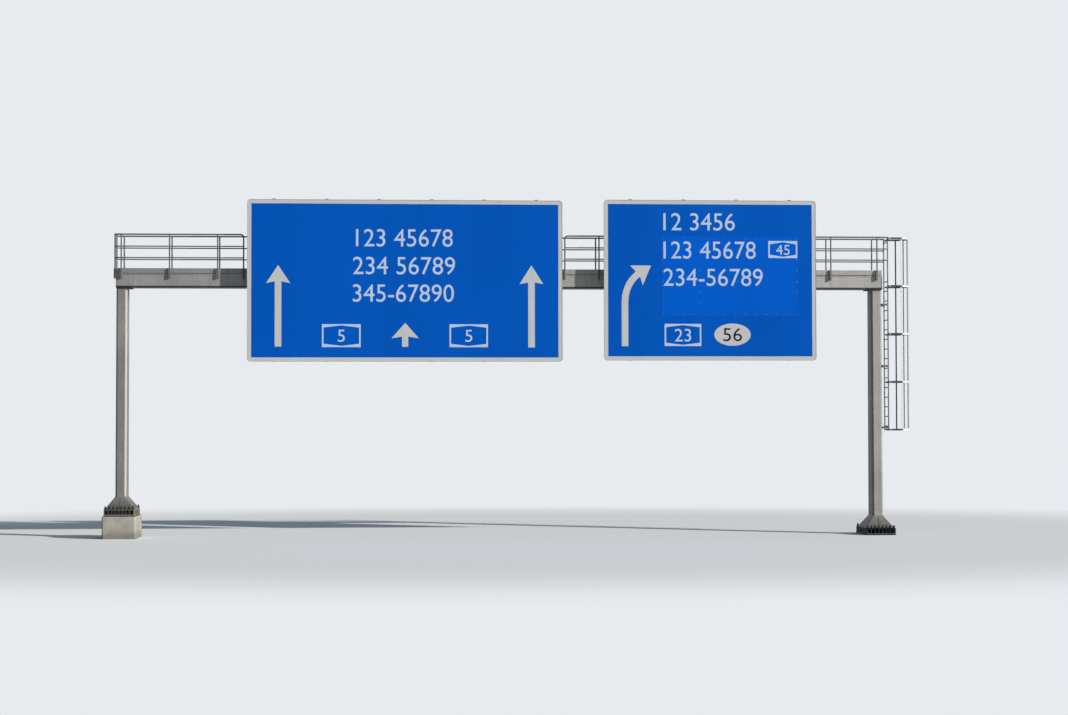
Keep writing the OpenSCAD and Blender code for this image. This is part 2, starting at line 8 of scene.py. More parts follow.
import bpy
import numpy as np
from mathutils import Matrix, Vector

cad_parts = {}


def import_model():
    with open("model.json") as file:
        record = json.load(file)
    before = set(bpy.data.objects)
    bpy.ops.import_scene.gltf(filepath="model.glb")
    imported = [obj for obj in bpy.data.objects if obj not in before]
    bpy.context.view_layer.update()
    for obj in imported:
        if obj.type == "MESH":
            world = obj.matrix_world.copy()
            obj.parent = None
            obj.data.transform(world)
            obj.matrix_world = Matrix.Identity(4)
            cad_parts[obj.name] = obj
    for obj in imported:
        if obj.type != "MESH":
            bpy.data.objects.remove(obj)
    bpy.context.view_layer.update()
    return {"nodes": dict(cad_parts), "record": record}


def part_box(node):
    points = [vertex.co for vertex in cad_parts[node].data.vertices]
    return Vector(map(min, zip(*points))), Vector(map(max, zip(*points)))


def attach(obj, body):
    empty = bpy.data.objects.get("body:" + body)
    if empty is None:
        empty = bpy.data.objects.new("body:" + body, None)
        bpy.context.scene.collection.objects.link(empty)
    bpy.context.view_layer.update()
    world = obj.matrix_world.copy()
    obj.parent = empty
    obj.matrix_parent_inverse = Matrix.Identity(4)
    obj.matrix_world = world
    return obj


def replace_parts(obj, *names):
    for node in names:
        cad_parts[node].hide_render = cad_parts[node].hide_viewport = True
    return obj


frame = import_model()
nodes = frame["nodes"]


def low(node):
    """Lower corner of a node's box."""
    return np.array(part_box(node)[0])


def high(node):
    """Upper corner of a node's box."""
    return np.array(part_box(node)[1])


def middle(node):
    """Middle of a node's box."""
    return (low(node) + high(node)) / 2


def coordinates(mesh):
    """Places of a mesh's vertices, as one array."""
    co = np.zeros(len(mesh.vertices) * 3)
    mesh.vertices.foreach_get("co", co)
    return co.reshape(-1, 3)


def verts_of(node):
    """A node's vertices where they stand in the model."""
    turn = np.array(nodes[node].matrix_world)
    return coordinates(nodes[node].data) @ turn[:3, :3].T + turn[:3, 3]


# Least room between two solids of a node that count as apart
LEAST_ROOM = 0.001


def parts(node, axis=0):
    """Boxes of a node's solids that stand apart along one axis, as (solids, low or
    high, xyz). Each face covers a stretch of that axis: sorted by where they start,
    a new solid begins where a face starts beyond the furthest end so far."""
    mesh = nodes[node].data
    index = np.zeros(len(mesh.loops), int)
    start = np.zeros(len(mesh.polygons), int)
    mesh.loops.foreach_get("vertex_index", index)
    mesh.polygons.foreach_get("loop_start", start)
    corners = verts_of(node)[index]
    lows, highs = np.minimum.reduceat(corners, start), np.maximum.reduceat(corners, start)
    order = np.argsort(lows[:, axis])
    lows, highs = lows[order], highs[order]
    reach = np.maximum.accumulate(highs[:, axis])
    cut = np.flatnonzero(lows[1:, axis] > reach[:-1] + LEAST_ROOM) + 1
    return np.array([[a.min(0), b.max(0)] for a, b in zip(np.split(lows, cut), np.split(highs, cut))])


# Places read from the frame
MID_X = (middle("left_column")[0] + middle("right_column")[0]) / 2
SPAN = middle("right_column")[0] - middle("left_column")[0]
GIRDER_LOW = low("girder")
GIRDER_HIGH = high("girder")
GIRDER_TOP = GIRDER_HIGH[2]
WEB_Y, FLANGE_Z = (np.unique(verts_of("girder")[:, axis].round(5)) for axis in (1, 2))

# Radii of the railing's tubes
TOP_RAIL_R = 0.0212
POST_R = 0.020

# Camera, as the photograph was taken
CAMERA = (MID_X - 3.162, -60.30, 3.178)
YAW = math.radians(3.84)
PITCH = math.radians(1.84)
ROLL = math.radians(0.1)
LENS = 70.8
SENSOR = 36.0
VIEW_END = 2000

# Light
SUN_AZIMUTH = math.radians(57)
SUN_HEIGHT = math.radians(24)
SUN_STRENGTH = 4.2
SUN_SOFTNESS = math.radians(1.5)
SUN_COLOR = (1.0, 0.97, 0.92)
SKY_STRENGTH = 0.255
SKY_SLOPE = 1.0
SKY_COLOR = (0.76, 0.91, 1.12)
GROUND_BOUNCE = (0.13, 0.13, 0.12)
BACKDROP = (0.80, 0.83, 0.86)

# Floor: half its width, its tone, how far that reaches both ways, and the shares
# of that reach between which it fades
FLOOR = 600.0
FLOOR_TONE = (0.80, 0.80, 0.79)
FLOOR_REACH = (22.0, 16.0)
FLOOR_FADE = (0.6, 2.2)


# Shader expressions


class Socket:
    """A shader value that takes part in Python expressions through Math nodes."""

    def __init__(self, shade, out):
        self.shade = shade
        self.out = out

    def __add__(self, other):
        return self.shade.math("ADD", self, other)

    def __sub__(self, other):
        return self.shade.math("SUBTRACT", self, other)

    def __rsub__(self, other):
        return self.shade.math("SUBTRACT", other, self)

    def __mul__(self, other):
        return self.shade.math("MULTIPLY", self, other)

    def __truediv__(self, other):
        return self.shade.math("DIVIDE", self, other)

    def __pow__(self, other):
        return self.shade.math("POWER", self, other)

    def __gt__(self, other):
        return self.shade.math("GREATER_THAN", self, other)

    def __lt__(self, other):
        return self.shade.math("LESS_THAN", self, other)

    def __abs__(self):
        return self.shade.math("ABSOLUTE", self, 0.0)

    __radd__ = __add__
    __rmul__ = __mul__

    def floor(self):
        return self.shade.math("FLOOR", self, 0.0)

    def fract(self):
        return self.shade.math("FRACT", self, 0.0)

    def clamp(self):
        return self.shade.node("ShaderNodeClamp", {}, {"Value": self})

    def ramp(self, start, end):
        """0 below start, 1 above end, and a smooth step between."""
        inputs = {"Value": self, "From Min": start, "From Max": end}
        return self.shade.node("ShaderNodeMapRange", {"interpolation_type": "SMOOTHSTEP"}, inputs)


class Shade:
    """The nodes of one material, or of the world. Every node that isn't plain maths
    comes from node()."""

    def __init__(self, name, owner=None):
        self.owner = owner or bpy.data.materials.new(name)
        self.owner.use_nodes = True
        self.tree = self.owner.node_tree
        self.tree.nodes.clear()
        self.place = self.node("ShaderNodeTexCoord", {}, {}, "Object")
        axes = [self.node("ShaderNodeSeparateXYZ", {}, {"Vector": self.place}, i) for i in range(3)]
        self.x, self.y, self.z = axes

    def node(self, kind, settings, inputs, out=0):
        """A node of one type: its settings first, then the values or links of its
        inputs. Gives one of its outputs, or nothing where it has none."""
        n = self.tree.nodes.new(kind)
        for key, value in settings.items():
            setattr(n, key, value)
        for key, value in inputs.items():
            socket = n.inputs[key]
            if isinstance(value, Socket):
                self.tree.links.new(value.out, socket)
            elif isinstance(value, tuple) and len(value) == 3 and socket.type == "RGBA":
                socket.default_value = (*value, 1.0)
            else:
                socket.default_value = value
        return Socket(self, n.outputs[out]) if len(n.outputs) else None

    def seen_ray(self):
        """1 where the camera looks straight at a surface, in a mirror or through
        glass, 0 for the light that surfaces throw on each other."""
        kinds = ("Is Camera Ray", "Is Glossy Ray", "Is Transmission Ray")
        camera, glossy, through = (self.node("ShaderNodeLightPath", {}, {}, kind) for kind in kinds)
        return (camera + glossy + through).clamp()

    def math(self, operation, a, b):
        return self.node("ShaderNodeMath", {"operation": operation}, {0: a, 1: b})

    def mix(self, factor, a, b, blend="MIX"):
        """Colour a at factor 0 and b, or a blended with b, at 1."""
        settings = {"data_type": "RGBA", "blend_type": blend}
        return self.node("ShaderNodeMix", settings, {0: factor, 6: a, 7: b}, 2)

    def noise(self, scale, detail=3.0, roughness=0.55, vector=None):
        """Soft cloud, with its grain per metre, octaves and weight of the fine ones."""
        inputs = {"Vector": vector or self.place, "Scale": scale, "Detail": detail, "Roughness": roughness}
        return self.node("ShaderNodeTexNoise", {}, inputs, "Fac")

    def runs(self, stretch, roughness, start, end):
        """Rain runs: a cloud on coordinates scaled by axis, so that it is drawn out
        downwards, shown as it rises from start to end."""
        inputs = {0: self.place, 1: stretch}
        drawn = self.node("ShaderNodeVectorMath", {"operation": "MULTIPLY"}, inputs)
        return self.noise(1.0, 3.0, roughness, drawn).ramp(start, end)

    def cells(self, scale, out="Color"):
        """Crystals or pores, as many a metre."""
        return self.node("ShaderNodeTexVoronoi", {}, {"Vector": self.place, "Scale": scale}, out)

    def leftward(self):
        """0 at the right column, rising as a square to 1 at the left one."""
        return ((MID_X + SPAN / 2 - self.x) / SPAN).clamp() ** 2.0

    def bump(self, height, distance, strength):
        inputs = {"Height": height, "Distance": distance, "Strength": strength}
        return self.node("ShaderNodeBump", {}, inputs)

    def finish(self, color, roughness, metallic, normal, specular=0.5):
        """The material, with these values on its one surface."""
        inputs = {
            "Base Color": color,
            "Roughness": roughness,
            "Metallic": metallic,
            "Specular IOR Level": specular,
            "Normal": normal,
        }
        self.output(self.node("ShaderNodeBsdfPrincipled", {}, inputs))
        return self.owner

    def output(self, surface, kind="ShaderNodeOutputMaterial"):
        self.node(kind, {}, {"Surface": surface})


def srgb(r, g, b):
    """A colour read as 0 to 255 on screen, made linear."""
    c = np.array([r, g, b]) / 255
    return tuple(float(v) for v in np.where(c <= 0.04045, c / 12.92, ((c + 0.055) / 1.055) ** 2.4))


# Tones of rust, of the painted shade on the skirts, of the nearly black under a height
# (painted shade on the girder and toe boards), of a pale stripe and of the painted shade
# on a column's shaded side; half the width of the stripe and of the nearly black's edge
RUST_BROWN = srgb(122, 84, 56)
SHADE_GREY = srgb(38, 38, 40)
DARK_BELOW_BLACK = srgb(16, 17, 19)
STRIPE_WHITE = srgb(214, 210, 202)
SIDE_SHADE_BLACK = (0.0, 0.0, 0.0)
STRIPE_HALF = 0.016
DARK_BELOW_EDGE = 0.001


def weathered_steel(
    name, pale, mid, dark, rust=0.25, metallic=0.25, specular=0.5,
    fade=None, dark_below=None, edge=None, sink=None, pale_band=None, shade_short_of=None, streak=None,
):
    """Grey coated steel: cloudy tone, rain streaks that run down, fine mottling,
    a few brown specks, and a slight orange-peel bump. fade is a tint that grows
    towards the left end, dark_below a height under which it turns nearly black
    (painted shade on the girder's underside and at the toe boards' foot; on a base
    plate only darker towards its bottom), edge one with pale above it (a painted
    highlight on the girder's top flange edge), sink a pair of heights between which it
    darkens downwards (painted shade on the skirts), pale_band a pair of x and the paler
    tone between them (a painted highlight on the left column's chamfer; the left
    chair's paler end), shade_short_of an x short of which it is darker (painted shade
    on the right column's shaded side), streak the x, lower and upper end of one pale
    stripe."""
    s = Shade(name)
    cloud = s.noise(0.9, 4.0, 0.6)
    mottle = s.noise(22.0, 4.0, 0.65)
    runs = s.runs((9.0, 9.0, 0.45), 0.6, 0.50, 0.78)
    specks = s.noise(48.0, 2.0, 0.5).ramp(0.70, 0.78)
    blotch = s.noise(2.3, 3.0, 0.6).ramp(0.52, 0.72)
    tone = (cloud * 0.55 + mottle * 0.45).ramp(0.34, 0.66)
    color = s.mix(tone, mid, pale)
    color = s.mix(runs * 0.3, color, dark)
    color = s.mix(specks * blotch * rust, color, RUST_BROWN)
    if fade:
        color = s.mix(s.leftward(), color, fade, "MULTIPLY")
    # a paler band across x: a painted highlight on the left column's chamfer; the left chair's paler end
    if pale_band:
        color = s.mix((s.x > pale_band[0]) * (s.x < pale_band[1]), color, pale_band[2])
    # darker short of an x: painted shade on a side turned from the sun
    if shade_short_of:
        color = s.mix((s.x < shade_short_of) * 0.36, color, SIDE_SHADE_BLACK)
    if sink:
        depth = ((sink[0] - s.z) / (sink[0] - sink[1])).clamp()
        color = s.mix(depth * 0.8, color, SHADE_GREY)
    # nearly black under a height: painted shade on the girder's underside and the toe boards' foot
    if dark_below:
        color = s.mix((dark_below - s.z).ramp(-DARK_BELOW_EDGE, DARK_BELOW_EDGE) * 0.97, color, DARK_BELOW_BLACK)
    # paler above a height: on the girder a painted highlight on the top flange's sunlit edge
    if edge:
        color = s.mix((s.z > edge) * 0.3, color, pale)
    # one pale vertical stripe
    if streak:
        across = 1.0 - abs(s.x - streak[0]) / STRIPE_HALF
        run = across.clamp() * (s.z > streak[1]) * (s.z < streak[2])
        color = s.mix(run * 0.6, color, STRIPE_WHITE)
    rough = 0.46 + mottle * 0.22 + runs * 0.12
    return s.finish(color, rough, metallic, s.bump(mottle, 0.0012, 0.5), specular=specular)


def galvanised(name, pale, dark, metallic=0.55, scale=60.0, fade=None, bright=None):
    """Zinc coat: crystal spangle in cells, dulled by a soft cloud. fade is a tint
    that grows towards the left end, bright a list of other tones, each with the
    stretches of x and y that it fills."""
    s = Shade(name)
    grain = s.node("ShaderNodeSeparateColor", {}, {"Color": s.cells(scale)})
    cloud = s.noise(3.0, 4.0, 0.6)
    runs = s.runs((14.0, 14.0, 0.8), 0.6, 0.52, 0.8)
    tone = (grain * 0.35 + cloud * 0.65).ramp(0.25, 0.75)
    color = s.mix(runs * 0.4, s.mix(tone, dark, pale), dark)
    if fade:
        color = s.mix(s.leftward(), color, fade, "MULTIPLY")
    for tone, x0, x1, y0, y1 in bright or []:
        color = s.mix((s.x > x0) * (s.x < x1) * (s.y > y0) * (s.y < y1), color, tone)
    return s.finish(color, 0.42 + grain * 0.12 + cloud * 0.15, metallic, s.bump(grain, 0.0004, 0.4))


def sheeting(name, base, deep, width, left, back):
    """Retroreflective sheeting: strips laid side by side from the left edge, each
    with a tone step from its number and a hairline joint, and a slow cloud of
    fading. Beyond back, a y, the plate is bare aluminium."""
    s = Shade(name)
    strip = (s.x - left) * (1.0 / width)
    place = strip.fract()
    hairline = 0.004
    line = (place < hairline) + (place > 1 - hairline)
    step = (strip.floor() * 0.377 + 0.13).fract()
    fade = s.noise(0.35, 3.0, 0.5)
    runs = s.runs((5.0, 1.0, 0.25), 0.5, 0.5, 0.8)
    fine = s.noise(180.0, 2.0, 0.5)
    color = s.mix((step * 0.22 + fade * 0.6).clamp(), deep, base)
    color = s.mix((line * 0.25 + runs * 0.10).clamp(), color, deep)
    bare = s.y > back
    plate = s.mix(fade, srgb(150, 152, 152), srgb(176, 177, 175))
    color = s.mix(bare, color, plate)
    rough = 0.34 + fine * 0.10 + bare * 0.12
    return s.finish(color, rough, bare * 0.5, s.bump(fine, 0.0002, 0.3), specular=0.06)


def film(name, base, grime):
    """Film or a smooth cap, faintly soiled from above."""
    s = Shade(name)
    soil = s.noise(1.6, 4.0, 0.6)
    runs = s.runs((12.0, 1.0, 0.5), 0.5, 0.48, 0.8)
    fine = s.noise(160.0, 2.0, 0.5)
    color = s.mix((soil * 0.35 + runs * 0.25).clamp(), base, grime)
    return s.finish(color, 0.40 + fine * 0.10, 0.0, s.bump(fine, 0.0002, 0.3), specular=0.15)


def concrete(name):
    """Weathered concrete: sand grain, air holes, damp towards the ground."""
    s = Shade(name)
    grain = s.noise(90.0, 4.0, 0.7)
    cloud = s.noise(2.4, 4.0, 0.6)
    holes = s.cells(38.0, "Distance").ramp(0.10, 0.16)
    damp = (0.22 - s.z + s.noise(5.0) * 0.16).ramp(0.0, 0.24)
    tone = (cloud * 0.6 + grain * 0.4).ramp(0.3, 0.7)
    color = s.mix(tone, srgb(148, 143, 132), srgb(186, 182, 172))
    color = s.mix(damp * 0.55, color, srgb(96, 92, 80))
    color = s.mix((1.0 - holes) * 0.5, color, srgb(90, 88, 82))
    return s.finish(color, 0.86 + grain * 0.08, 0.0, s.bump(grain * 0.4 + holes, 0.002, 0.5))


# Greys of the coated steel: pale, middle and dark
PAINT_GREY = (srgb(169, 165, 160), srgb(148, 145, 140), srgb(112, 108, 102))
LEFT_GREY = (srgb(146, 143, 139), srgb(118, 117, 116), srgb(88, 86, 84))
GIRDER_GREY = (srgb(181, 179, 173), srgb(160, 157, 152), srgb(121, 118, 111))
TOE_GREY = (srgb(177, 175, 171), srgb(156, 153, 150), srgb(118, 115, 109))
BRACKET_GREY = (srgb(172, 170, 163), srgb(152, 150, 144), srgb(112, 108, 100))
SKIRT_GREY = (srgb(130, 127, 121), srgb(112, 109, 104), srgb(78, 76, 72))
# Nearly black greys: painted shade on the head plates under the girder
DARK_GREY = (srgb(34, 35, 37), srgb(26, 27, 29), srgb(18, 18, 20))
CHAIR_GREY = {
    "left": (srgb(104, 101, 96), srgb(88, 86, 82), srgb(52, 51, 50)),
    "right": (srgb(28, 30, 33), srgb(20, 21, 23), srgb(12, 13, 14)),
}
PLATE_GREY = {
    "left": (srgb(132, 126, 120), srgb(116, 111, 106), srgb(80, 78, 75)),
    "right": (srgb(82, 83, 85), srgb(66, 67, 69), srgb(42, 42, 43)),
}

# Heights under which the steel turns nearly black: over the girder's lower flange and
# top, painted shade of the underside and at the toe boards' foot, and over the
# underside of a base plate, where it is only darker towards the bottom
PAINTED_SHADE_H = 0.022
PLATE_DARK_H = 0.026

# Strips inwards from an edge: the corners that the columns turn to the road, the left
# one with a painted highlight on its sunlit chamfer and the right one with painted
# shade on its shaded side, and the left chair's paler right end
HIGHLIGHT_FROM = 0.052
HIGHLIGHT_TO = 0.002
SHADED_SIDE_W = 0.046
CHAIR_PALE_END_W = 0.012

# How far under a skirt its shading would end, and the pale stripe beside the left
# seam: its distance from the seam and its upper end over the flange
SKIRT_SHADE_DEPTH = 0.05
STRIPE_X = 0.048
STRIPE_TOP = 0.15

# Zones of the cage, inwards from its outermost place, and the Y that parts the front
# outer flat from the others; an open zone reaches beyond the piece. The pale zones are
# painted highlights, the dark tones painted dark reflections
CAGE_X = high("cage_hoops")[0]
HOOP_FRONT_X = CAGE_X - 0.26
HOOP_LEG_X = CAGE_X - 0.60
SIDE_FLAT_X = CAGE_X - 0.4
OUTER_FLAT_X = CAGE_X - 0.2
OUTER_FLAT_Y = -0.05
BEYOND = 1.0

# Sheeting: its blues, the boards' left edges, the plane of their faces, how far
# behind it bare metal begins, and the widths of the strips
SHEET_BLUES = (srgb(0, 96, 203), srgb(0, 84, 184))
OVERLAY_BLUES = (srgb(0, 102, 218), srgb(0, 89, 201))
SIGN_X = {size: low(size + "_sign_rim")[0] for size in ("large", "small")}
FACE_Y = max(low(size + "_sign_sheet")[1] for size in SIGN_X)
BARE_BEHIND = 0.001
SHEET_STRIP = 1.27
OVERLAY_STRIP = 1.1

STEEL = weathered_steel("weathered_steel", *PAINT_GREY, fade=(0.70, 0.74, 0.78))
INNER_X = high("left_column")[0]
# A painted highlight on the left column's sunlit right chamfer
CHAMFER_HIGHLIGHT = (INNER_X - HIGHLIGHT_FROM, INNER_X - HIGHLIGHT_TO, srgb(182, 176, 168))
LEFT_STEEL = weathered_steel("left_column_steel", *LEFT_GREY, pale_band=CHAMFER_HIGHLIGHT)
# The right column's left side and chamfer are painted darker: painted shade
RIGHT_STEEL = weathered_steel("right_column_steel", *PAINT_GREY, shade_short_of=low("right_column")[0] + SHADED_SIDE_W)
GIRDER = weathered_steel(
    "girder_steel",
    *GIRDER_GREY,
    fade=(0.66, 0.68, 0.72),
    # painted shade: the underside and the lower flange's edge turn nearly black
    dark_below=FLANGE_Z[1] + PAINTED_SHADE_H,
    # a painted highlight on the top flange's sunlit edge
    edge=FLANGE_Z[2],
    # a pale vertical stripe beside the left seam
    streak=(GIRDER_LOW[0] + STRIPE_X, FLANGE_Z[1] + PAINTED_SHADE_H, FLANGE_Z[1] + STRIPE_TOP),
)
# Nearly black steel: painted shade on the head plates and their bolts; the rungs take it too
DARK_STEEL = weathered_steel("dark_steel", *DARK_GREY, rust=0.3, metallic=0.1, specular=0.2)
# The toe boards' lowest strip turns nearly black: painted shade at their joint over the girder
TOE = weathered_steel("toe_steel", *TOE_GREY, fade=(0.54, 0.58, 0.65), dark_below=GIRDER_TOP + PAINTED_SHADE_H)
BRACKET = weathered_steel("bracket_steel", *BRACKET_GREY, fade=(0.7, 0.74, 0.8))


def foot_steels(side):
    """Skirt, anchor chair and base plate of one foot, by node."""
    skirt, chair, plate = (side + part for part in ("_foot_skirt", "_anchor_chair", "_base_plate"))
    end = high(plate)[0]
    # the left chair is paler at its right end
    pale_end = (end - CHAIR_PALE_END_W, end + BEYOND, srgb(134, 124, 112)) if side == "left" else None
    shade = (high(skirt)[2], low(skirt)[2] - SKIRT_SHADE_DEPTH)
    dark_below = low(plate)[2] + PLATE_DARK_H
    return {
        skirt: weathered_steel(skirt, *SKIRT_GREY, rust=0.5, sink=shade),
        chair: weathered_steel(side + "_chair", *CHAIR_GREY[side], 0.3, 0.0, 0.06, pale_band=pale_end),
        plate: weathered_steel(plate, *PLATE_GREY[side], 0.5, 0.0, 0.2, dark_below=dark_below),
    }


FOOT_STEELS = {**foot_steels("left"), **foot_steels("right")}
ZINC = galvanised("zinc", srgb(150, 152, 150), srgb(112, 115, 116))
BAR_ZINC = galvanised("bar_zinc", srgb(112, 118, 122), srgb(82, 88, 94), 0.1, fade=(0.72, 0.74, 0.76))
GLINT_ZINC = srgb(200, 202, 204)
# Hoops: dark base tones are painted dark reflections, the pale zones painted highlights
HOOP_ZINC = galvanised(
    "hoop_zinc",
    srgb(66, 72, 80),
    srgb(46, 51, 58),
    metallic=0.2,
    bright=[
        (srgb(216, 218, 219), HOOP_FRONT_X, CAGE_X + BEYOND, -BEYOND, 0),
        (srgb(150, 152, 156), CAGE_X - 2 * BEYOND, HOOP_LEG_X, -BEYOND, BEYOND),
    ],
)
# Cage flats: pale zones are painted highlights, the darker front outer flat a painted dark reflection
CAGE_ZINC = galvanised(
    "cage_zinc",
    srgb(56, 62, 72),
    srgb(42, 47, 56),
    metallic=0.2,
    bright=[
        (GLINT_ZINC, SIDE_FLAT_X, OUTER_FLAT_X, -BEYOND, 0),
        (GLINT_ZINC, OUTER_FLAT_X, CAGE_X + BEYOND, OUTER_FLAT_Y, BEYOND),
        (srgb(98, 100, 110), OUTER_FLAT_X, CAGE_X + BEYOND, -BEYOND, OUTER_FLAT_Y),
    ],
)
STILE_ZINC = galvanised("stile_zinc", srgb(126, 130, 132), srgb(94, 99, 103), metallic=0.45)
ALUMINIUM = galvanised("aluminium", srgb(186, 184, 176), srgb(160, 158, 150), metallic=0.5, scale=140.0)
BEAD_ZINC = galvanised("bead_zinc", srgb(196, 192, 182), srgb(172, 168, 160), metallic=0.2, scale=200.0)
BLUE = sheeting("blue_sheeting", *SHEET_BLUES, SHEET_STRIP, SIGN_X["large"], FACE_Y + BARE_BEHIND)
OVERLAY_BLUE = sheeting("overlay_sheeting", *OVERLAY_BLUES, OVERLAY_STRIP, SIGN_X["small"], FACE_Y)
WHITE = film("white_film", srgb(205, 207, 208), srgb(178, 177, 170))
# White film: the white is the film's own, its blue cast is painted sky light
COOL_WHITE = film("cool_white_film", srgb(194, 211, 236), srgb(172, 186, 208))
BEIGE = film("beige_rim", srgb(184, 184, 177), srgb(158, 157, 149))
CONCRETE = concrete("concrete")
CAP = film("black_cap", srgb(20, 20, 22), srgb(34, 33, 31))
FIGURE_BLACK = film("black_figures", srgb(22, 22, 24), srgb(40, 40, 40))
BOLT = galvanised("bolt_zinc", srgb(138, 136, 128), srgb(96, 90, 80), metallic=0.5, scale=300.0)

BY_SLOT = {
    "painted_steel": STEEL,
    "galvanised": BAR_ZINC,
    "foot_steel": CAP,
    "deck_steel": ZINC,
    "sign_aluminium": ALUMINIUM,
    "sign_blue": BLUE,
    "overlay_blue": OVERLAY_BLUE,
    "concrete": CONCRETE,
}
# Single nodes, before their slots
BY_NODE = {
    node: material
    for material, *names in [
        (LEFT_STEEL, "left_column"),
        (RIGHT_STEEL, "right_column"),
        (GIRDER, "girder", "left_corner_box", "right_corner_box", "end_plates"),
        (TOE, "rear_toe_board", "front_toe_board", "end_toe_board"),
        (BRACKET, "rear_rail_brackets", "front_rail_brackets", "end_rail_brackets"),
        (DARK_STEEL, "head_plates", "ladder_rungs"),
        (STILE_ZINC, "ladder_stiles"),
        (CAGE_ZINC, "cage_bars"),
        (HOOP_ZINC, "cage_hoops"),
        (ZINC, "large_sign_uprights", "small_sign_uprights"),
        (BEIGE, "large_sign_rim", "small_sign_rim"),
    ]
    for node in names
}
BY_NODE.update(FOOT_STEELS)
for row in frame["record"]["subparts"]:
    name = row["node"]
    mesh = nodes[name].data
    mesh.materials.clear()
    mesh.materials.append(BY_NODE.get(name) or BY_SLOT[row["material_slot"]])


# Shapes as whole arrays


class Solid:
    """Vertices as one array, and faces as arrays of equal-sided polygons."""

    def __init__(self, verts, faces):
        self.verts = np.asarray(verts, float).reshape(-1, 3)
        self.faces = [np.asarray(f, int) for f in faces]

    def turned(self, matrix):
        return Solid(self.verts @ np.asarray(matrix, float).T, self.faces)

    def moved(self, offset):
        return Solid(self.verts + np.asarray(offset, float), self.faces)

    def repeated(self, spots):
        """One copy at each row of spots: the vertices of all copies come from one
        sum of arrays, and each copy's faces are shifted by its first vertex."""
        verts = spots[:, None, :] + self.verts[None, :, :]
        shift = np.arange(len(spots))[:, None, None] * len(self.verts)
        faces = [(f[None] + shift).reshape(-1, f.shape[1]) for f in self.faces]
        return Solid(verts, faces)


def joined(solids):
    """Several solids as one, each one's faces shifted past those before."""
    starts = np.cumsum([0] + [len(s.verts) for s in solids])
    faces = [f + start for s, start in zip(solids, starts) for f in s.faces]
    return Solid(np.vstack([s.verts for s in solids]), faces)


def quads(rings, rows):
    """Four-sided faces over rings[v, u]: round u, and from each of the first rows
    rings to the next one. After the last comes the first."""
    nv, nu = rings.shape[:2]
    v, u = np.meshgrid(np.arange(rows), np.arange(nu), indexing="ij")
    a, b = (v + 1) % nv, (u + 1) % nu
    return np.stack([v * nu + u, v * nu + b, a * nu + b, a * nu + u], -1).reshape(-1, 4)


def skin(rings):
    """A closed solid over rings[v, u]: the surface point is ring v's point u, quads
    join neighbours, and each end ring is a cap."""
    rings = np.asarray(rings, float)
    nv, nu = rings.shape[:2]
    ends = np.stack([np.arange(nu)[::-1], (nv - 1) * nu + np.arange(nu)])
    return Solid(rings, [quads(rings, nv - 1), ends])


def torus(rings):
    """A closed solid over rings[v, u] whose last ring joins its first."""
    return Solid(rings, [quads(rings, len(rings))])


def circle(sides, turn=0.0):
    """Unit circle: cosine and sine of equal steps round, as (sides, 2)."""
    a = turn + np.arange(sides) * 2 * math.pi / sides
    return np.stack([np.cos(a), np.sin(a)], -1)


def lathe(profile, sides):
    """A profile of (radius, height) pairs turned about Z: point (v, u) is radius v
    times the unit circle at step u, at height v."""
    profile = np.asarray(profile, float)
    ring = circle(sides)
    flat = profile[:, None, 0:1] * ring[None]
    heights = np.broadcast_to(profile[:, None, 1:2], flat.shape[:2] + (1,))
    return skin(np.concatenate([flat, heights], -1))


def at_y(outline, y):
    """An outline in X and Z as points at one y."""
    outline = np.asarray(outline, float)
    return np.stack([outline[:, 0], np.full(len(outline), float(y)), outline[:, 1]], -1)


def slab(outline, y0, y1):
    """An outline in X and Z carried from y0 to y1; counter-clockwise seen from -Y."""
    return skin([at_y(outline, y0), at_y(outline, y1)])


def band(outer, inner, y0, y1):
    """A closed strip between two outlines in X and Z with as many points each: its
    section's four corners (outer front, outer back, inner back, inner front) are
    carried round the outline."""
    corners = [at_y(outer, y0), at_y(outer, y1), at_y(inner, y1), at_y(inner, y0)]
    return torus(np.stack(corners, 1))


def box_solid(size):
    """A cuboid about the origin: its lower rectangle carried up to its upper one."""
    x, y, z = np.asarray(size, float) / 2
    rect = np.array([[-x, -y], [x, -y], [x, y], [-x, y]])
    return skin([np.column_stack([rect, np.full(4, h)]) for h in (-z, z)])


def rounded(x0, z0, x1, z1, r):
    """Rectangle with rounded corners, counter-clockwise: each corner is its own
    quarter of a circle of radius r about the corner's centre."""
    quarter = np.linspace(0, math.pi / 2, 8)
    centres = [(x1 - r, z0 + r), (x1 - r, z1 - r), (x0 + r, z1 - r), (x0 + r, z0 + r)]
    arcs = []
    for k, (cx, cz) in enumerate(centres):
        t = quarter + (k - 1) * math.pi / 2
        arcs.append(np.stack([cx + r * np.cos(t), cz + r * np.sin(t)], -1))
    return np.vstack(arcs)


def added(name, data):
    """A new object of the scene, at the origin."""
    obj = bpy.data.objects.new(name, data)
    bpy.context.scene.collection.objects.link(obj)
    return obj


def make(name, solid, material, smooth=False):
    """Puts a solid into a mesh object of one material that rides on the model."""
    mesh = bpy.data.meshes.new(name)
    faces = [row for f in solid.faces for row in f.tolist()]
    mesh.from_pydata(solid.verts.tolist(), [], faces)
    mesh.validate()
    if smooth:
        mesh.polygons.foreach_set("use_smooth", np.ones(len(mesh.polygons), bool))
    mesh.materials.append(material)
    obj = added(name, mesh)
    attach(obj, "root")
    return obj


# Turns that lay a piece made along Z in the direction named
TO_X = np.array([[0, 0, 1], [0, 1, 0], [-1, 0, 0]])
TO_MINUS_X = TO_X.T
TO_Y = np.array([[1, 0, 0], [0, 0, 1], [0, -1, 0]])
TO_MINUS_Y = TO_Y.T
TO_MINUS_Z = np.diag([1, -1, -1])

# A direction that no weld runs along
SLANT = np.array([0.577, 0.577, 0.577])


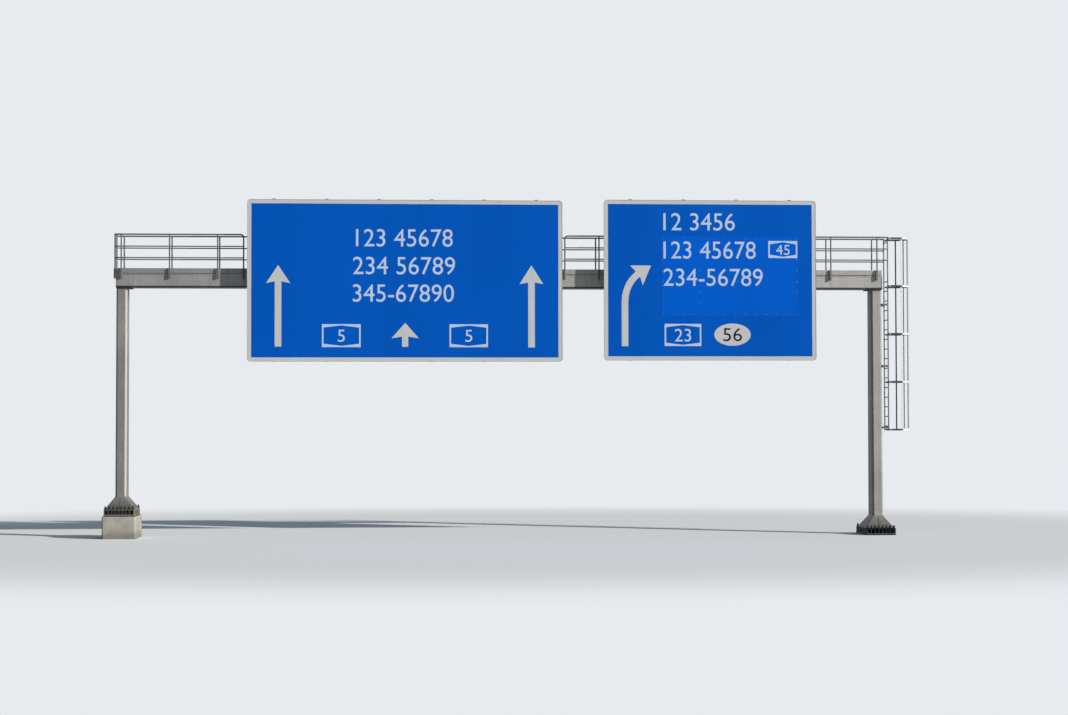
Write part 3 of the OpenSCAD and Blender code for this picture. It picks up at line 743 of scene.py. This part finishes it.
def places(xs, ys, zs):
    """Every combination of the given x, y and z, one row each."""
    return np.stack(np.meshgrid(xs, ys, zs, indexing="ij"), -1).reshape(-1, 3)


def turned_z(angle):
    """Turn about Z."""
    c, s = math.cos(angle), math.sin(angle)
    return np.array([[c, -s, 0], [s, c, 0], [0, 0, 1]])


def bolt(flats, head):
    """Bolt head on its washer, standing on the origin along Z: both are lathed, the
    head with six sides and a chamfer."""
    r = flats / math.sqrt(3)
    washer_r, washer_top, chamfer = flats * 0.66, head * 0.25, head * 0.85
    washer = lathe([(washer_r, 0), (washer_r, washer_top)], 14)
    return joined([washer, lathe([(r, washer_top), (r, chamfer), (r * 0.84, head)], 6)])


def rivet(radius, height):
    """Flat dome: the radius falls as the cosine of an angle and the height rises as
    its sine, up to a small flat top."""
    a = np.linspace(0, 1.3, 5)
    return lathe(np.stack([radius * np.cos(a), height * np.sin(a)], -1), 12)


def bead(path, radius):
    """Weld bead on a closed path: round rings of eight points whose radius swells
    and shrinks along the path as a sine, joined round both ways."""
    step, wave, depth = 0.03, 2.2, 0.18
    path = np.asarray(path, float)
    legs = np.roll(path, -1, 0) - path
    counts = np.maximum(np.linalg.norm(legs, axis=1) / step, 2).astype(int)
    shares = [np.linspace(0, 1, n, endpoint=False)[:, None] for n in counts]
    pts = np.vstack([p + d * share for p, d, share in zip(path, legs, shares)])
    along = np.roll(pts, -1, 0) - np.roll(pts, 1, 0)
    along /= np.linalg.norm(along, axis=1)[:, None]
    side = np.cross(along, SLANT)
    side /= np.linalg.norm(side, axis=1)[:, None]
    lift = np.cross(side, along)
    ring = circle(8)[None]
    swell = radius * (1 + depth * np.sin(np.arange(len(pts)) * wave))[:, None, None]
    return torus(pts[:, None] + swell * (ring[..., :1] * side[:, None] + ring[..., 1:] * lift[:, None]))


# Sign faces: outlines are drawn right and down from a board's top left corner

# Thickness of all film
FILM_T = 0.0012

# White border: its inner edge from the board's edge, and its two corner radii
BORDER = 0.118
BORDER_OUTER_R = 0.086
BORDER_INNER_R = 0.006

# Arrows: how far barbs sweep back, and half the curved one's width
BARB = 0.05
CURVE_HALF = 0.095

# Number frames: width of the side bars, its share over the middle, and the
# height of the corners
SHIELD_BAR = 0.044
SHIELD_THIN = 0.8
SHIELD_CORNER = 0.095

# Height of a full row of figures, and the large board's two numbers: their
# middles, their size and that of the frames round them
ROW_H = 0.50
NUMBER_X = (2.65, 6.25)
NUMBER_Y = 3.86
NUMBER_SIZE = (0.20, 0.345)
NUMBER_FRAME = (1.09, 0.65)

# Upright arrows of the large board: middle, tip, width over the barbs and of the
# shaft, height of the head, lower end
LARGE_ARROWS = [
    (0.872, 1.863, 0.68, 0.188, 0.51, 4.165),
    (8.034, 1.85, 0.68, 0.188, 0.535, 4.185),
    (4.45, 3.49, 0.775, 0.175, 0.44, 4.17),
]

# Frames of both boards: left, top, width, height
LARGE_SHIELDS = [(x - NUMBER_FRAME[0] / 2, 3.53, *NUMBER_FRAME) for x in NUMBER_X]
SMALL_SHIELD = (1.735, 3.543, 1.055, 0.635)
UPPER_SHIELD = (4.735, 1.16, 0.84, 0.49)

# Oval of the small board: its middle and half its width and height
OVAL_AT = (3.69, 3.85)
OVAL_HALF = (0.525, 0.32)


class Board:
    """A sign board's face: its outer edges and the plane that film is laid on."""

    def __init__(self, name):
        self.name = name
        self.x0, _, self.z0 = low(name + "_sign_rim")
        self.x1, _, self.z1 = high(name + "_sign_rim")
        self.face = low(name + "_sign_sheet")[1]
        self.rim = low(name + "_sign_sheet")[0] - self.x0

    def at(self, outline):
        """An outline drawn right and down from the board's top left, placed."""
        outline = np.asarray(outline, float)
        return np.stack([self.x0 + outline[:, 0], self.z1 - outline[:, 1]], -1)

    def film(self, outline, lift=0.0):
        """An outline cut from film, on the face or lifted off it."""
        return slab(self.at(outline)[::-1], self.face - lift - FILM_T, self.face - lift)

    def ring(self, outer, inner, lift=0.0):
        """A frame cut from film between two outlines."""
        front = self.face - lift - FILM_T
        return band(self.at(outer)[::-1], self.at(inner)[::-1], front, self.face - lift)


BOARDS = {name: Board(name) for name in ("large", "small")}


def sign_border(board):
    """White band inside the rim: rounded outside, nearly square inside."""
    outlines = [
        rounded(board.x0 + inset, board.z0 + inset, board.x1 - inset, board.z1 - inset, r)
        for inset, r in ((board.rim, BORDER_OUTER_R), (BORDER, BORDER_INNER_R))
    ]
    strip = band(*outlines, board.face - FILM_T, board.face)
    make(board.name + "_sign_border", strip, WHITE)


def straight_arrow(cx, tip, wing, shaft, head_h, bottom):
    """Upright arrow, clockwise from its tip as drawn downwards: the right half with
    a barb that sweeps back a little, then the same mirrored from below."""
    neck = tip + head_h - BARB
    half = np.array([(0, tip), (wing / 2, tip + head_h), (shaft / 2, neck), (shaft / 2, bottom)])
    return np.vstack([half, (half * (-1, 1))[:0:-1]]) + (cx, 0)


def curved_arrow():
    """Exit arrow in one outline: the left side of a band of even width, which runs
    up and then along a curve to the right, the three corners of the head, and the
    band's right side back down. The curve's share t lies at (1 - t)^2 of the knee,
    2t(1 - t) of the control point and t^2 of the neck."""
    t = np.linspace(0, 1, 18)[:, None]
    foot, knee, control, neck = np.array([(0.60, 4.18), (0.60, 2.95), (0.60, 2.42), (0.975, 2.125)])
    head = np.array([(0.752, 1.877), (1.35, 1.877), (1.114, 2.447)])
    path = np.vstack([foot, (1 - t) ** 2 * knee + 2 * t * (1 - t) * control + t**2 * neck])
    step = np.gradient(path, axis=0)
    step[0] = step[1] = (0, -1)
    step /= np.linalg.norm(step, axis=1)[:, None]
    side = np.stack([step[:, 1], -step[:, 0]], -1) * CURVE_HALF
    return np.vstack([path + side, head, (path - side)[::-1]])


def shield(x0, y0, w, h):
    """Number frame: its inside is a flat hexagon, so that the frame is heavier at
    its four corners. Outer and inner outline have eight points each."""
    x1, y1, cx, cy = x0 + w, y0 + h, x0 + w / 2, y0 + h / 2

    def outline(side, middle, corner):
        xs = [x0 + side, cx, x1 - side, x1 - side, x1 - side, cx, x0 + side, x0 + side]
        ys = [y0 + corner, y0 + middle, y0 + corner, cy, y1 - corner, y1 - middle, y1 - corner, cy]
        return np.column_stack([xs, ys])

    return outline(0, 0, 0), outline(SHIELD_BAR, SHIELD_BAR * SHIELD_THIN, SHIELD_CORNER)


def figures(name, text, board, cx, cy, size, material, lift=0.0):
    """Plain figures laid flat on a board about a middle point, of a given width and
    height."""
    width, height = size
    curve = bpy.data.curves.new(name, "FONT")
    curve.body = text
    curve.size = height
    curve.align_x = "CENTER"
    curve.align_y = "CENTER"
    curve.extrude = FILM_T / 2
    curve.resolution_u = 4
    temp = added(name + "_text", curve)
    bpy.context.view_layer.update()
    mesh = bpy.data.meshes.new_from_object(temp.evaluated_get(bpy.context.evaluated_depsgraph_get()))
    bpy.data.objects.remove(temp)
    co = coordinates(mesh)
    flat = co[:, :2] - (co[:, :2].min(0) + co[:, :2].max(0)) / 2
    flat *= height / np.ptp(flat[:, 1])
    flat[:, 0] *= width / np.ptp(flat[:, 0])
    x = board.x0 + cx + flat[:, 0]
    y = board.face - lift - FILM_T / 2 - co[:, 2]
    placed = np.stack([x, y, board.z1 - cy + flat[:, 1]], -1)
    mesh.vertices.foreach_set("co", placed.ravel())
    mesh.name = name
    mesh.materials.clear()
    mesh.materials.append(material)
    mesh.update()
    obj = added(name, mesh)
    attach(obj, "root")


def large_face():
    """Arrows, frames and figures of the large board; each row of figures has its
    middle across and down, then its width and height."""
    b = BOARDS["large"]
    sign_border(b)
    arrows = joined([b.film(straight_arrow(*arrow)) for arrow in LARGE_ARROWS])
    make("large_sign_arrows", arrows, WHITE)
    shields = joined([b.ring(*shield(*size)) for size in LARGE_SHIELDS])
    make("large_sign_shields", shields, COOL_WHITE)
    for name, text, cx, cy, size in [
        ("row_1", "123 45678", 4.43, 1.08, (2.74, ROW_H)),
        ("row_2", "234 56789", 4.42, 1.87, (2.89, ROW_H)),
        ("row_3", "345-67890", 4.40, 2.65, (2.86, ROW_H)),
        ("left_number", "5", NUMBER_X[0], NUMBER_Y, NUMBER_SIZE),
        ("right_number", "5", NUMBER_X[1], NUMBER_Y, NUMBER_SIZE),
    ]:
        figures("large_sign_" + name, text, b, cx, cy, size, COOL_WHITE)


def small_face():
    """The same for the small board, where some film lies on the raised overlay, and
    one number on the oval."""
    b = BOARDS["small"]
    lift = b.face - low("small_sign_overlay")[1]
    sign_border(b)
    make("small_sign_arrow", b.film(curved_arrow()[::-1]), WHITE)
    shields = joined([b.ring(*shield(*SMALL_SHIELD)), b.ring(*shield(*UPPER_SHIELD), lift)])
    make("small_sign_shields", shields, COOL_WHITE)
    oval = (circle(40) * OVAL_HALF + OVAL_AT)[::-1]
    make("small_sign_oval", b.film(oval), WHITE)
    for name, text, cx, cy, size, material, up in [
        ("row_1", "12 3456", 2.74, 0.62, (2.06, ROW_H), COOL_WHITE, 0.0),
        ("row_2", "123 45678", 3.04, 1.43, (2.66, ROW_H), COOL_WHITE, lift),
        ("row_3", "234-56789", 3.14, 2.21, (2.86, ROW_H), COOL_WHITE, lift),
        ("number", "23", 2.262, 3.868, (0.47, 0.365), COOL_WHITE, 0.0),
        ("upper_number", "45", 5.155, 1.415, (0.40, 0.29), COOL_WHITE, lift),
        ("oval_number", "56", *OVAL_AT, (0.55, 0.38), FIGURE_BLACK, FILM_T),
    ]:
        figures("small_sign_" + name, text, b, cx, cy, size, material, up)


large_face()
small_face()


# Fastenings and small parts

# Bolt heads: width over flats and height
RAIL_BOLT = (0.019, 0.010)
ARM_BOLT = (0.024, 0.013)
HEAD_PLATE_BOLT = (0.024, 0.010)
CLAMP_BOLT = (0.016, 0.008)
COVER_SCREW = (0.013, 0.006)

# Rivets: radius and height
OVERLAY_RIVET = (0.007, 0.003)
CAGE_RIVET = (0.008, 0.004)

# Anchor rods: radius, their start over the plate's underside, and the radii and
# heights of nut and cap
ROD_R = 0.015
ROD_LIFT = 0.004
NUT = [(0.030, 0), (0.030, 0.005), (0.0265, 0.005), (0.0265, 0.028), (0.023, 0.031)]
CAP_DOME = [(0.036, 0), (0.036, 0.008), (0.031, 0.014), (0.029, 0.050), (0.019, 0.078), (0.005, 0.092)]

# Bolts of a railing bracket over the girder's top, and the lower rails' middles
# under the upper side of the top one
BRACKET_BOLT_Z = (-0.095, -0.035, 0.055, 0.130)
RAIL_DROPS = (0.360, 0.685)

# Weld beads: radius
COLUMN_BEAD = 0.006
SEAM_BEAD = 0.0035


def rivets():
    """Rivets round the overlay's edge and down its two panel joints."""
    (x0, y, z0), (x1, _, z1) = low("small_sign_overlay"), high("small_sign_overlay")
    inset, pitch, joint_shares = 0.035, 0.282, np.array([0.28, 0.56])
    xs = np.linspace(x0 + inset, x1 - inset, round((x1 - x0) / pitch))
    zs = np.linspace(z0 + inset, z1 - inset, round((z1 - z0) / pitch))
    spots = np.vstack([
        places(xs, [y], [zs[0], zs[-1]]),
        places([xs[0], xs[-1]], [y], zs[1:-1]),
        places(x0 + (x1 - x0) * joint_shares, [y], zs[1:-1]),
    ])
    heads = rivet(*OVERLAY_RIVET).turned(TO_MINUS_Y).repeated(spots)
    make("small_sign_rivets", heads, ALUMINIUM, True)


def grating():
    """Open grating in each deck panel: flats on edge across the walkway, rods along
    it let into their tops, and a flat along each side."""
    panels = parts("walkway_deck")
    (_, y0, z0), (_, y1, z1) = panels[0]
    depth, width, flat, rod, side_room = z1 - z0, y1 - y0, 0.004, 0.006, 0.05
    length = (panels[:, 1, 0] - panels[:, 0, 0]).mean()
    centres = panels[:, :, 0].mean(1)
    steps = np.linspace((flat - length) / 2, (length - flat) / 2, 41)
    xs = (centres[:, None] + steps[None]).ravel()
    rod_ys = np.linspace(y0 + side_room, y1 - side_room, 12)
    side_ys = [y0 + flat / 2, y1 - flat / 2]
    z = (z0 + z1) / 2
    solids = [
        box_solid((flat, width, depth)).repeated(places(xs, [(y0 + y1) / 2], [z])),
        box_solid((length, rod, rod)).repeated(places(centres, rod_ys, [z1 - rod / 2])),
        box_solid((length, flat, depth)).repeated(places(centres, side_ys, [z])),
    ]
    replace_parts(make("walkway_grating", joined(solids), ZINC), "walkway_deck")


def anchors():
    """Anchor rods with a levelling nut on the base plate and a black cap over the
    top nut. They stand at half the spacings of the record's own hole pattern, which
    are in millimetres."""
    mounts = {m["name"]: m for m in frame["record"]["mounts"]}
    outer = mounts["right_foot_anchors_1"]["dims"]
    across, row = (outer[key] / 2000 for key in ("spacing_x_mm", "spacing_y_mm"))
    spots = places(np.linspace(-across, across, 8), [-row, row], [0.0])
    nut, cap = lathe(NUT, 6), lathe(CAP_DOME, 20)
    rods, caps = [], []
    for side in ("left", "right"):
        plate, chair = side + "_base_plate", side + "_anchor_chair"
        z0, z1, z2 = low(plate)[2], high(plate)[2], high(chair)[2]
        here = spots + (middle(plate)[0], 0, 0)
        rod = lathe([(ROD_R, z0 + ROD_LIFT), (ROD_R, z2)], 16)
        rods.append(joined([rod, nut.moved((0, 0, z1))]).repeated(here))
        caps.append(cap.moved((0, 0, z2)).repeated(here))
    make("anchor_rods", joined(rods), BOLT)
    make("anchor_caps", joined(caps), CAP, True)


def bracket_bolts():
    """Four bolts through the cheek of every railing bracket and its post: a head on
    the cheek and a nut on the post's other side."""
    through = bolt(*RAIL_BOLT)
    heights = GIRDER_TOP + np.array(BRACKET_BOLT_Z)
    solids = []
    for node, side in (("rear_rail_brackets", 1), ("front_rail_brackets", -1)):
        boxes = parts(node)
        y = middle("rear_railing")[1] * side
        solids += [
            through.turned(TO_X).repeated(places(boxes[:, :, 0].mean(1) + POST_R, [y], heights)),
            through.turned(TO_MINUS_X).repeated(places(boxes[:, 0, 0], [y], heights)),
        ]
    guards = parts("end_rail_brackets", 1)
    x = low("left_end_railing")[0] + TOP_RAIL_R
    solids += [
        through.turned(TO_Y).repeated(places([x], guards[:, :, 1].mean(1) + POST_R, heights)),
        through.turned(TO_MINUS_Y).repeated(places([x], guards[:, 0, 1], heights)),
    ]
    make("railing_bracket_bolts", joined(solids), BOLT)


def arm_bolts(board):
    """Four bolts in each end plate of the arms between girder and uprights."""
    node = board.name + "_sign_arms"
    plate, dx, dz = 0.008, 0.055, 0.038
    xs = parts(node)[:, :, 0].mean(1)
    zs = parts(node, 2)[:, :, 2].mean(1)
    xs = np.concatenate([xs - dx, xs + dx])
    zs = np.concatenate([zs - dz, zs + dz])
    head = bolt(*ARM_BOLT)
    solids = [
        head.turned(TO_Y).repeated(places(xs, [low(node)[1] + plate], zs)),
        head.turned(TO_MINUS_Y).repeated(places(xs, [high(node)[1] - plate], zs)),
    ]
    make(board.name + "_sign_arm_bolts", joined(solids), BOLT)


def channel_clamps(board):
    """Where a back channel crosses an upright, a clamp on each side: a spacer beside
    the flange, a plate over both and a bolt through them."""
    spacer, plate = (0.026, 0.008, 0.036), (0.050, 0.006, 0.036)
    bolt_out, plate_out = 0.014, 0.002
    uprights = parts(board.name + "_sign_uprights")
    flange = (uprights[0, 1, 0] - uprights[0, 0, 0]) / 2
    xs = uprights[:, :, 0].mean(1)
    zs = parts(board.name + "_sign_channels", 2)[:, :, 2].mean(1)
    y = low(board.name + "_sign_uprights")[1]
    solids = []
    for side in (-1, 1):
        out = side * (flange + bolt_out)
        pieces = [
            box_solid(spacer).moved((out, spacer[1] / 2, 0)),
            box_solid(plate).moved((side * (flange + plate_out), spacer[1] + plate[1] / 2, 0)),
            bolt(*CLAMP_BOLT).turned(TO_Y).moved((out, spacer[1] + plate[1], 0)),
        ]
        solids += [piece.repeated(places(xs, [y], zs)) for piece in pieces]
    make(board.name + "_sign_clamps", joined(solids), BOLT)


def cover_screws():
    """Six screws in each access cover."""
    dy, dz = 0.018, 0.022
    solids = []
    for (x0, y0, z0), (x1, y1, z1) in parts("access_covers"):
        face, turn = (x1, TO_X) if x0 > MID_X else (x0, TO_MINUS_X)
        spots = places([face], [y0 + dy, y1 - dy], np.linspace(z0 + dz, z1 - dz, 3))
        solids.append(bolt(*COVER_SCREW).turned(turn).repeated(spots))
    make("access_cover_screws", joined(solids), BOLT)


def head_plate_bolts():
    """Bolts under the head plates, in the strip between column and seam."""
    dx, dy = 0.05, 0.06
    solids = []
    for (x0, y0, z0), (x1, y1, z1) in parts("head_plates"):
        x = x0 + dx if x0 > MID_X else x1 - dx
        spots = places([x], np.linspace(y0 + dy, y1 - dy, 5), [z0])
        solids.append(bolt(*HEAD_PLATE_BOLT).turned(TO_MINUS_Z).repeated(spots))
    make("head_plate_bolts", joined(solids), DARK_STEEL)


def toe_feet():
    """A short foot under each end of the long toe boards, down to the girder."""
    length, share = 0.14, 0.8
    solids = []
    for node in ("front_toe_board", "rear_toe_board"):
        (x0, y0, z0), (x1, y1, _) = low(node), high(node)
        foot = box_solid((length, (y1 - y0) * share, z0 - GIRDER_TOP))
        xs = [x0 + length / 2, x1 - length / 2]
        solids.append(foot.repeated(places(xs, [(y0 + y1) / 2], [(z0 + GIRDER_TOP) / 2])))
    make("toe_board_feet", joined(solids), GIRDER)


def ladder_bolts():
    """Bolts of the wall brackets and of the hoops' legs, and a rivet where each
    upright flat of the cage but the outermost crosses a hoop."""
    plate, leg, bracket_y, inset = 0.008, 0.006, 0.17, 0.02
    brackets = parts("ladder_brackets", 2)
    levels = parts("cage_hoops", 2)[:, :, 2].mean(1)
    (_, y0, _), (x1, y1, _) = low("ladder_stiles"), high("ladder_stiles")
    head = bolt(*RAIL_BOLT).turned(TO_X)
    wall = places([brackets[0, 0, 0] + plate], [-bracket_y, bracket_y], brackets[:, :, 2].mean(1))
    legs = places([x1 + leg], [y0 + inset, y1 - inset], levels)
    solids = [head.repeated(wall), head.repeated(legs)]
    radius = high("cage_hoops")[1]
    centre = high("cage_hoops")[0] - radius
    stud = rivet(*CAGE_RIVET).turned(TO_X).moved((radius, 0, 0))
    for angle in np.radians([-80, -40, 40, 80]):
        solids.append(stud.turned(turned_z(angle)).repeated(places([centre], [0.0], levels)))
    make("ladder_bolts", joined(solids), BOLT)


def rail_sleeves():
    """Short sleeves where one rail ends and the next begins, at both ends of the
    long railings."""
    half, bevel, top_r, lower_r = 0.030, 0.003, 0.0238, 0.0193
    ends = low("rear_railing")[0], high("rear_railing")[0]
    y = middle("rear_railing")[1]
    top = high("rear_railing")[2] - TOP_RAIL_R
    drop = np.array(RAIL_DROPS) - TOP_RAIL_R
    solids = []
    for r, zs in ((top_r, [top]), (lower_r, top - drop)):
        profile = [(r - bevel, -half), (r, bevel - half), (r, half - bevel), (r - bevel, half)]
        solids.append(lathe(profile, 20).turned(TO_X).repeated(places(ends, [-y, y], zs)))
    make("rail_sleeves", joined(solids), BAR_ZINC, True)


def section(node, z):
    """The outer corners of a node's section at one height, in order round it: the
    points that reach furthest along each of 64 directions."""
    near, least, turn = 0.003, 0.001, 0.05
    v = verts_of(node)
    ring = v[np.abs(v[:, 2] - z) < near]
    best = np.argmax((ring[:, :2] - ring[:, :2].mean(0)) @ circle(64, turn).T, axis=0)
    corners = ring[best]
    return corners[np.linalg.norm(corners - np.roll(corners, 1, 0), axis=1) > least]


def welds():
    """Beads round the columns' ends and round the girder at its seams."""
    loops = []
    for column in ("left_column", "right_column"):
        for z in (low(column)[2], high(column)[2]):
            loops.append(bead(section(column, z), COLUMN_BEAD))
    (y0, web0), (web1, y1) = WEB_Y[:2], WEB_Y[-2:]
    z0, above, below, z1 = FLANGE_Z
    outline = [(y0, z0), (y1, z0), (y1, above), (web1, above), (web1, below), (y1, below)]
    outline += [(y1, z1), (y0, z1), (y0, below), (web0, below), (web0, above), (y0, above)]
    ends = GIRDER_LOW[0], GIRDER_HIGH[0]
    seams = [bead([(x, y, z) for y, z in outline], SEAM_BEAD) for x in ends]
    make("weld_beads", joined(loops), STEEL, True)
    make("seam_beads", joined(seams), BEAD_ZINC, True)


rivets()
grating()
anchors()
bracket_bolts()
for board in BOARDS.values():
    arm_bolts(board)
    channel_clamps(board)
cover_screws()
head_plate_bolts()
toe_feet()
ladder_bolts()
rail_sleeves()
welds()


# Stage, camera and light


def stage():
    """Pale floor: it takes shadows near the gantry and fades into the backdrop."""
    x0, x1 = MID_X - FLOOR, MID_X + FLOOR
    verts = [(x0, -FLOOR, 0), (x1, -FLOOR, 0), (x1, FLOOR, 0), (x0, FLOOR, 0)]
    mesh = bpy.data.meshes.new("floor")
    mesh.from_pydata(verts, [], [(0, 1, 2, 3)])
    s = Shade("floor")
    dx = (s.x - MID_X) * (1 / FLOOR_REACH[0])
    dy = s.y * (1 / FLOOR_REACH[1])
    far = (dx * dx + dy * dy).ramp(*FLOOR_FADE)
    seen = s.seen_ray()
    tone = s.mix(seen, GROUND_BOUNCE, FLOOR_TONE)
    lit = s.node("ShaderNodeBsdfDiffuse", {}, {"Color": tone})
    flat = s.node("ShaderNodeEmission", {}, {"Color": BACKDROP, "Strength": 1.0})
    s.output(s.node("ShaderNodeMixShader", {}, {0: far * seen, 1: lit, 2: flat}))
    mesh.materials.append(s.owner)
    floor = added("floor", mesh)


def world():
    """Soft sky for light, brighter towards the sun than away from it, and the pale
    backdrop wherever it is seen."""
    bpy.context.scene.world = bpy.data.worlds.new("studio")
    s = Shade("studio", bpy.context.scene.world)

    def sky(color, strength):
        return s.node("ShaderNodeBackground", {}, {"Color": color, "Strength": strength})

    dim = sky(SKY_COLOR, SKY_STRENGTH * (1 - SKY_SLOPE))
    bright = sky(SKY_COLOR, SKY_STRENGTH * (1 + SKY_SLOPE))
    toward = s.x * math.sin(SUN_AZIMUTH) - s.y * math.cos(SUN_AZIMUTH)
    light = s.node("ShaderNodeMixShader", {}, {0: (toward * 0.5 + 0.5).clamp(), 1: dim, 2: bright})
    shown = s.node("ShaderNodeMixShader", {}, {0: s.seen_ray(), 1: light, 2: sky(BACKDROP, 1.0)})
    s.output(shown, "ShaderNodeOutputWorld")


def sun():
    """Low sun from the right, on the viewer's side."""
    data = bpy.data.lights.new("sun", "SUN")
    data.energy = SUN_STRENGTH
    data.angle = SUN_SOFTNESS
    data.color = SUN_COLOR
    obj = added("sun", data)
    obj.rotation_euler = (math.pi / 2 - SUN_HEIGHT, 0, SUN_AZIMUTH)


def camera():
    """Long lens from the road, turned a little right and up."""
    data = bpy.data.cameras.new("camera")
    data.sensor_width = SENSOR
    data.sensor_fit = "HORIZONTAL"
    data.lens = LENS
    data.clip_end = VIEW_END
    obj = added("camera", data)
    obj.location = CAMERA
    obj.rotation_euler = (math.pi / 2 + PITCH, ROLL, -YAW)
    bpy.context.scene.camera = obj


stage()
world()
sun()
camera()
bpy.context.scene.view_settings.view_transform = "Standard"
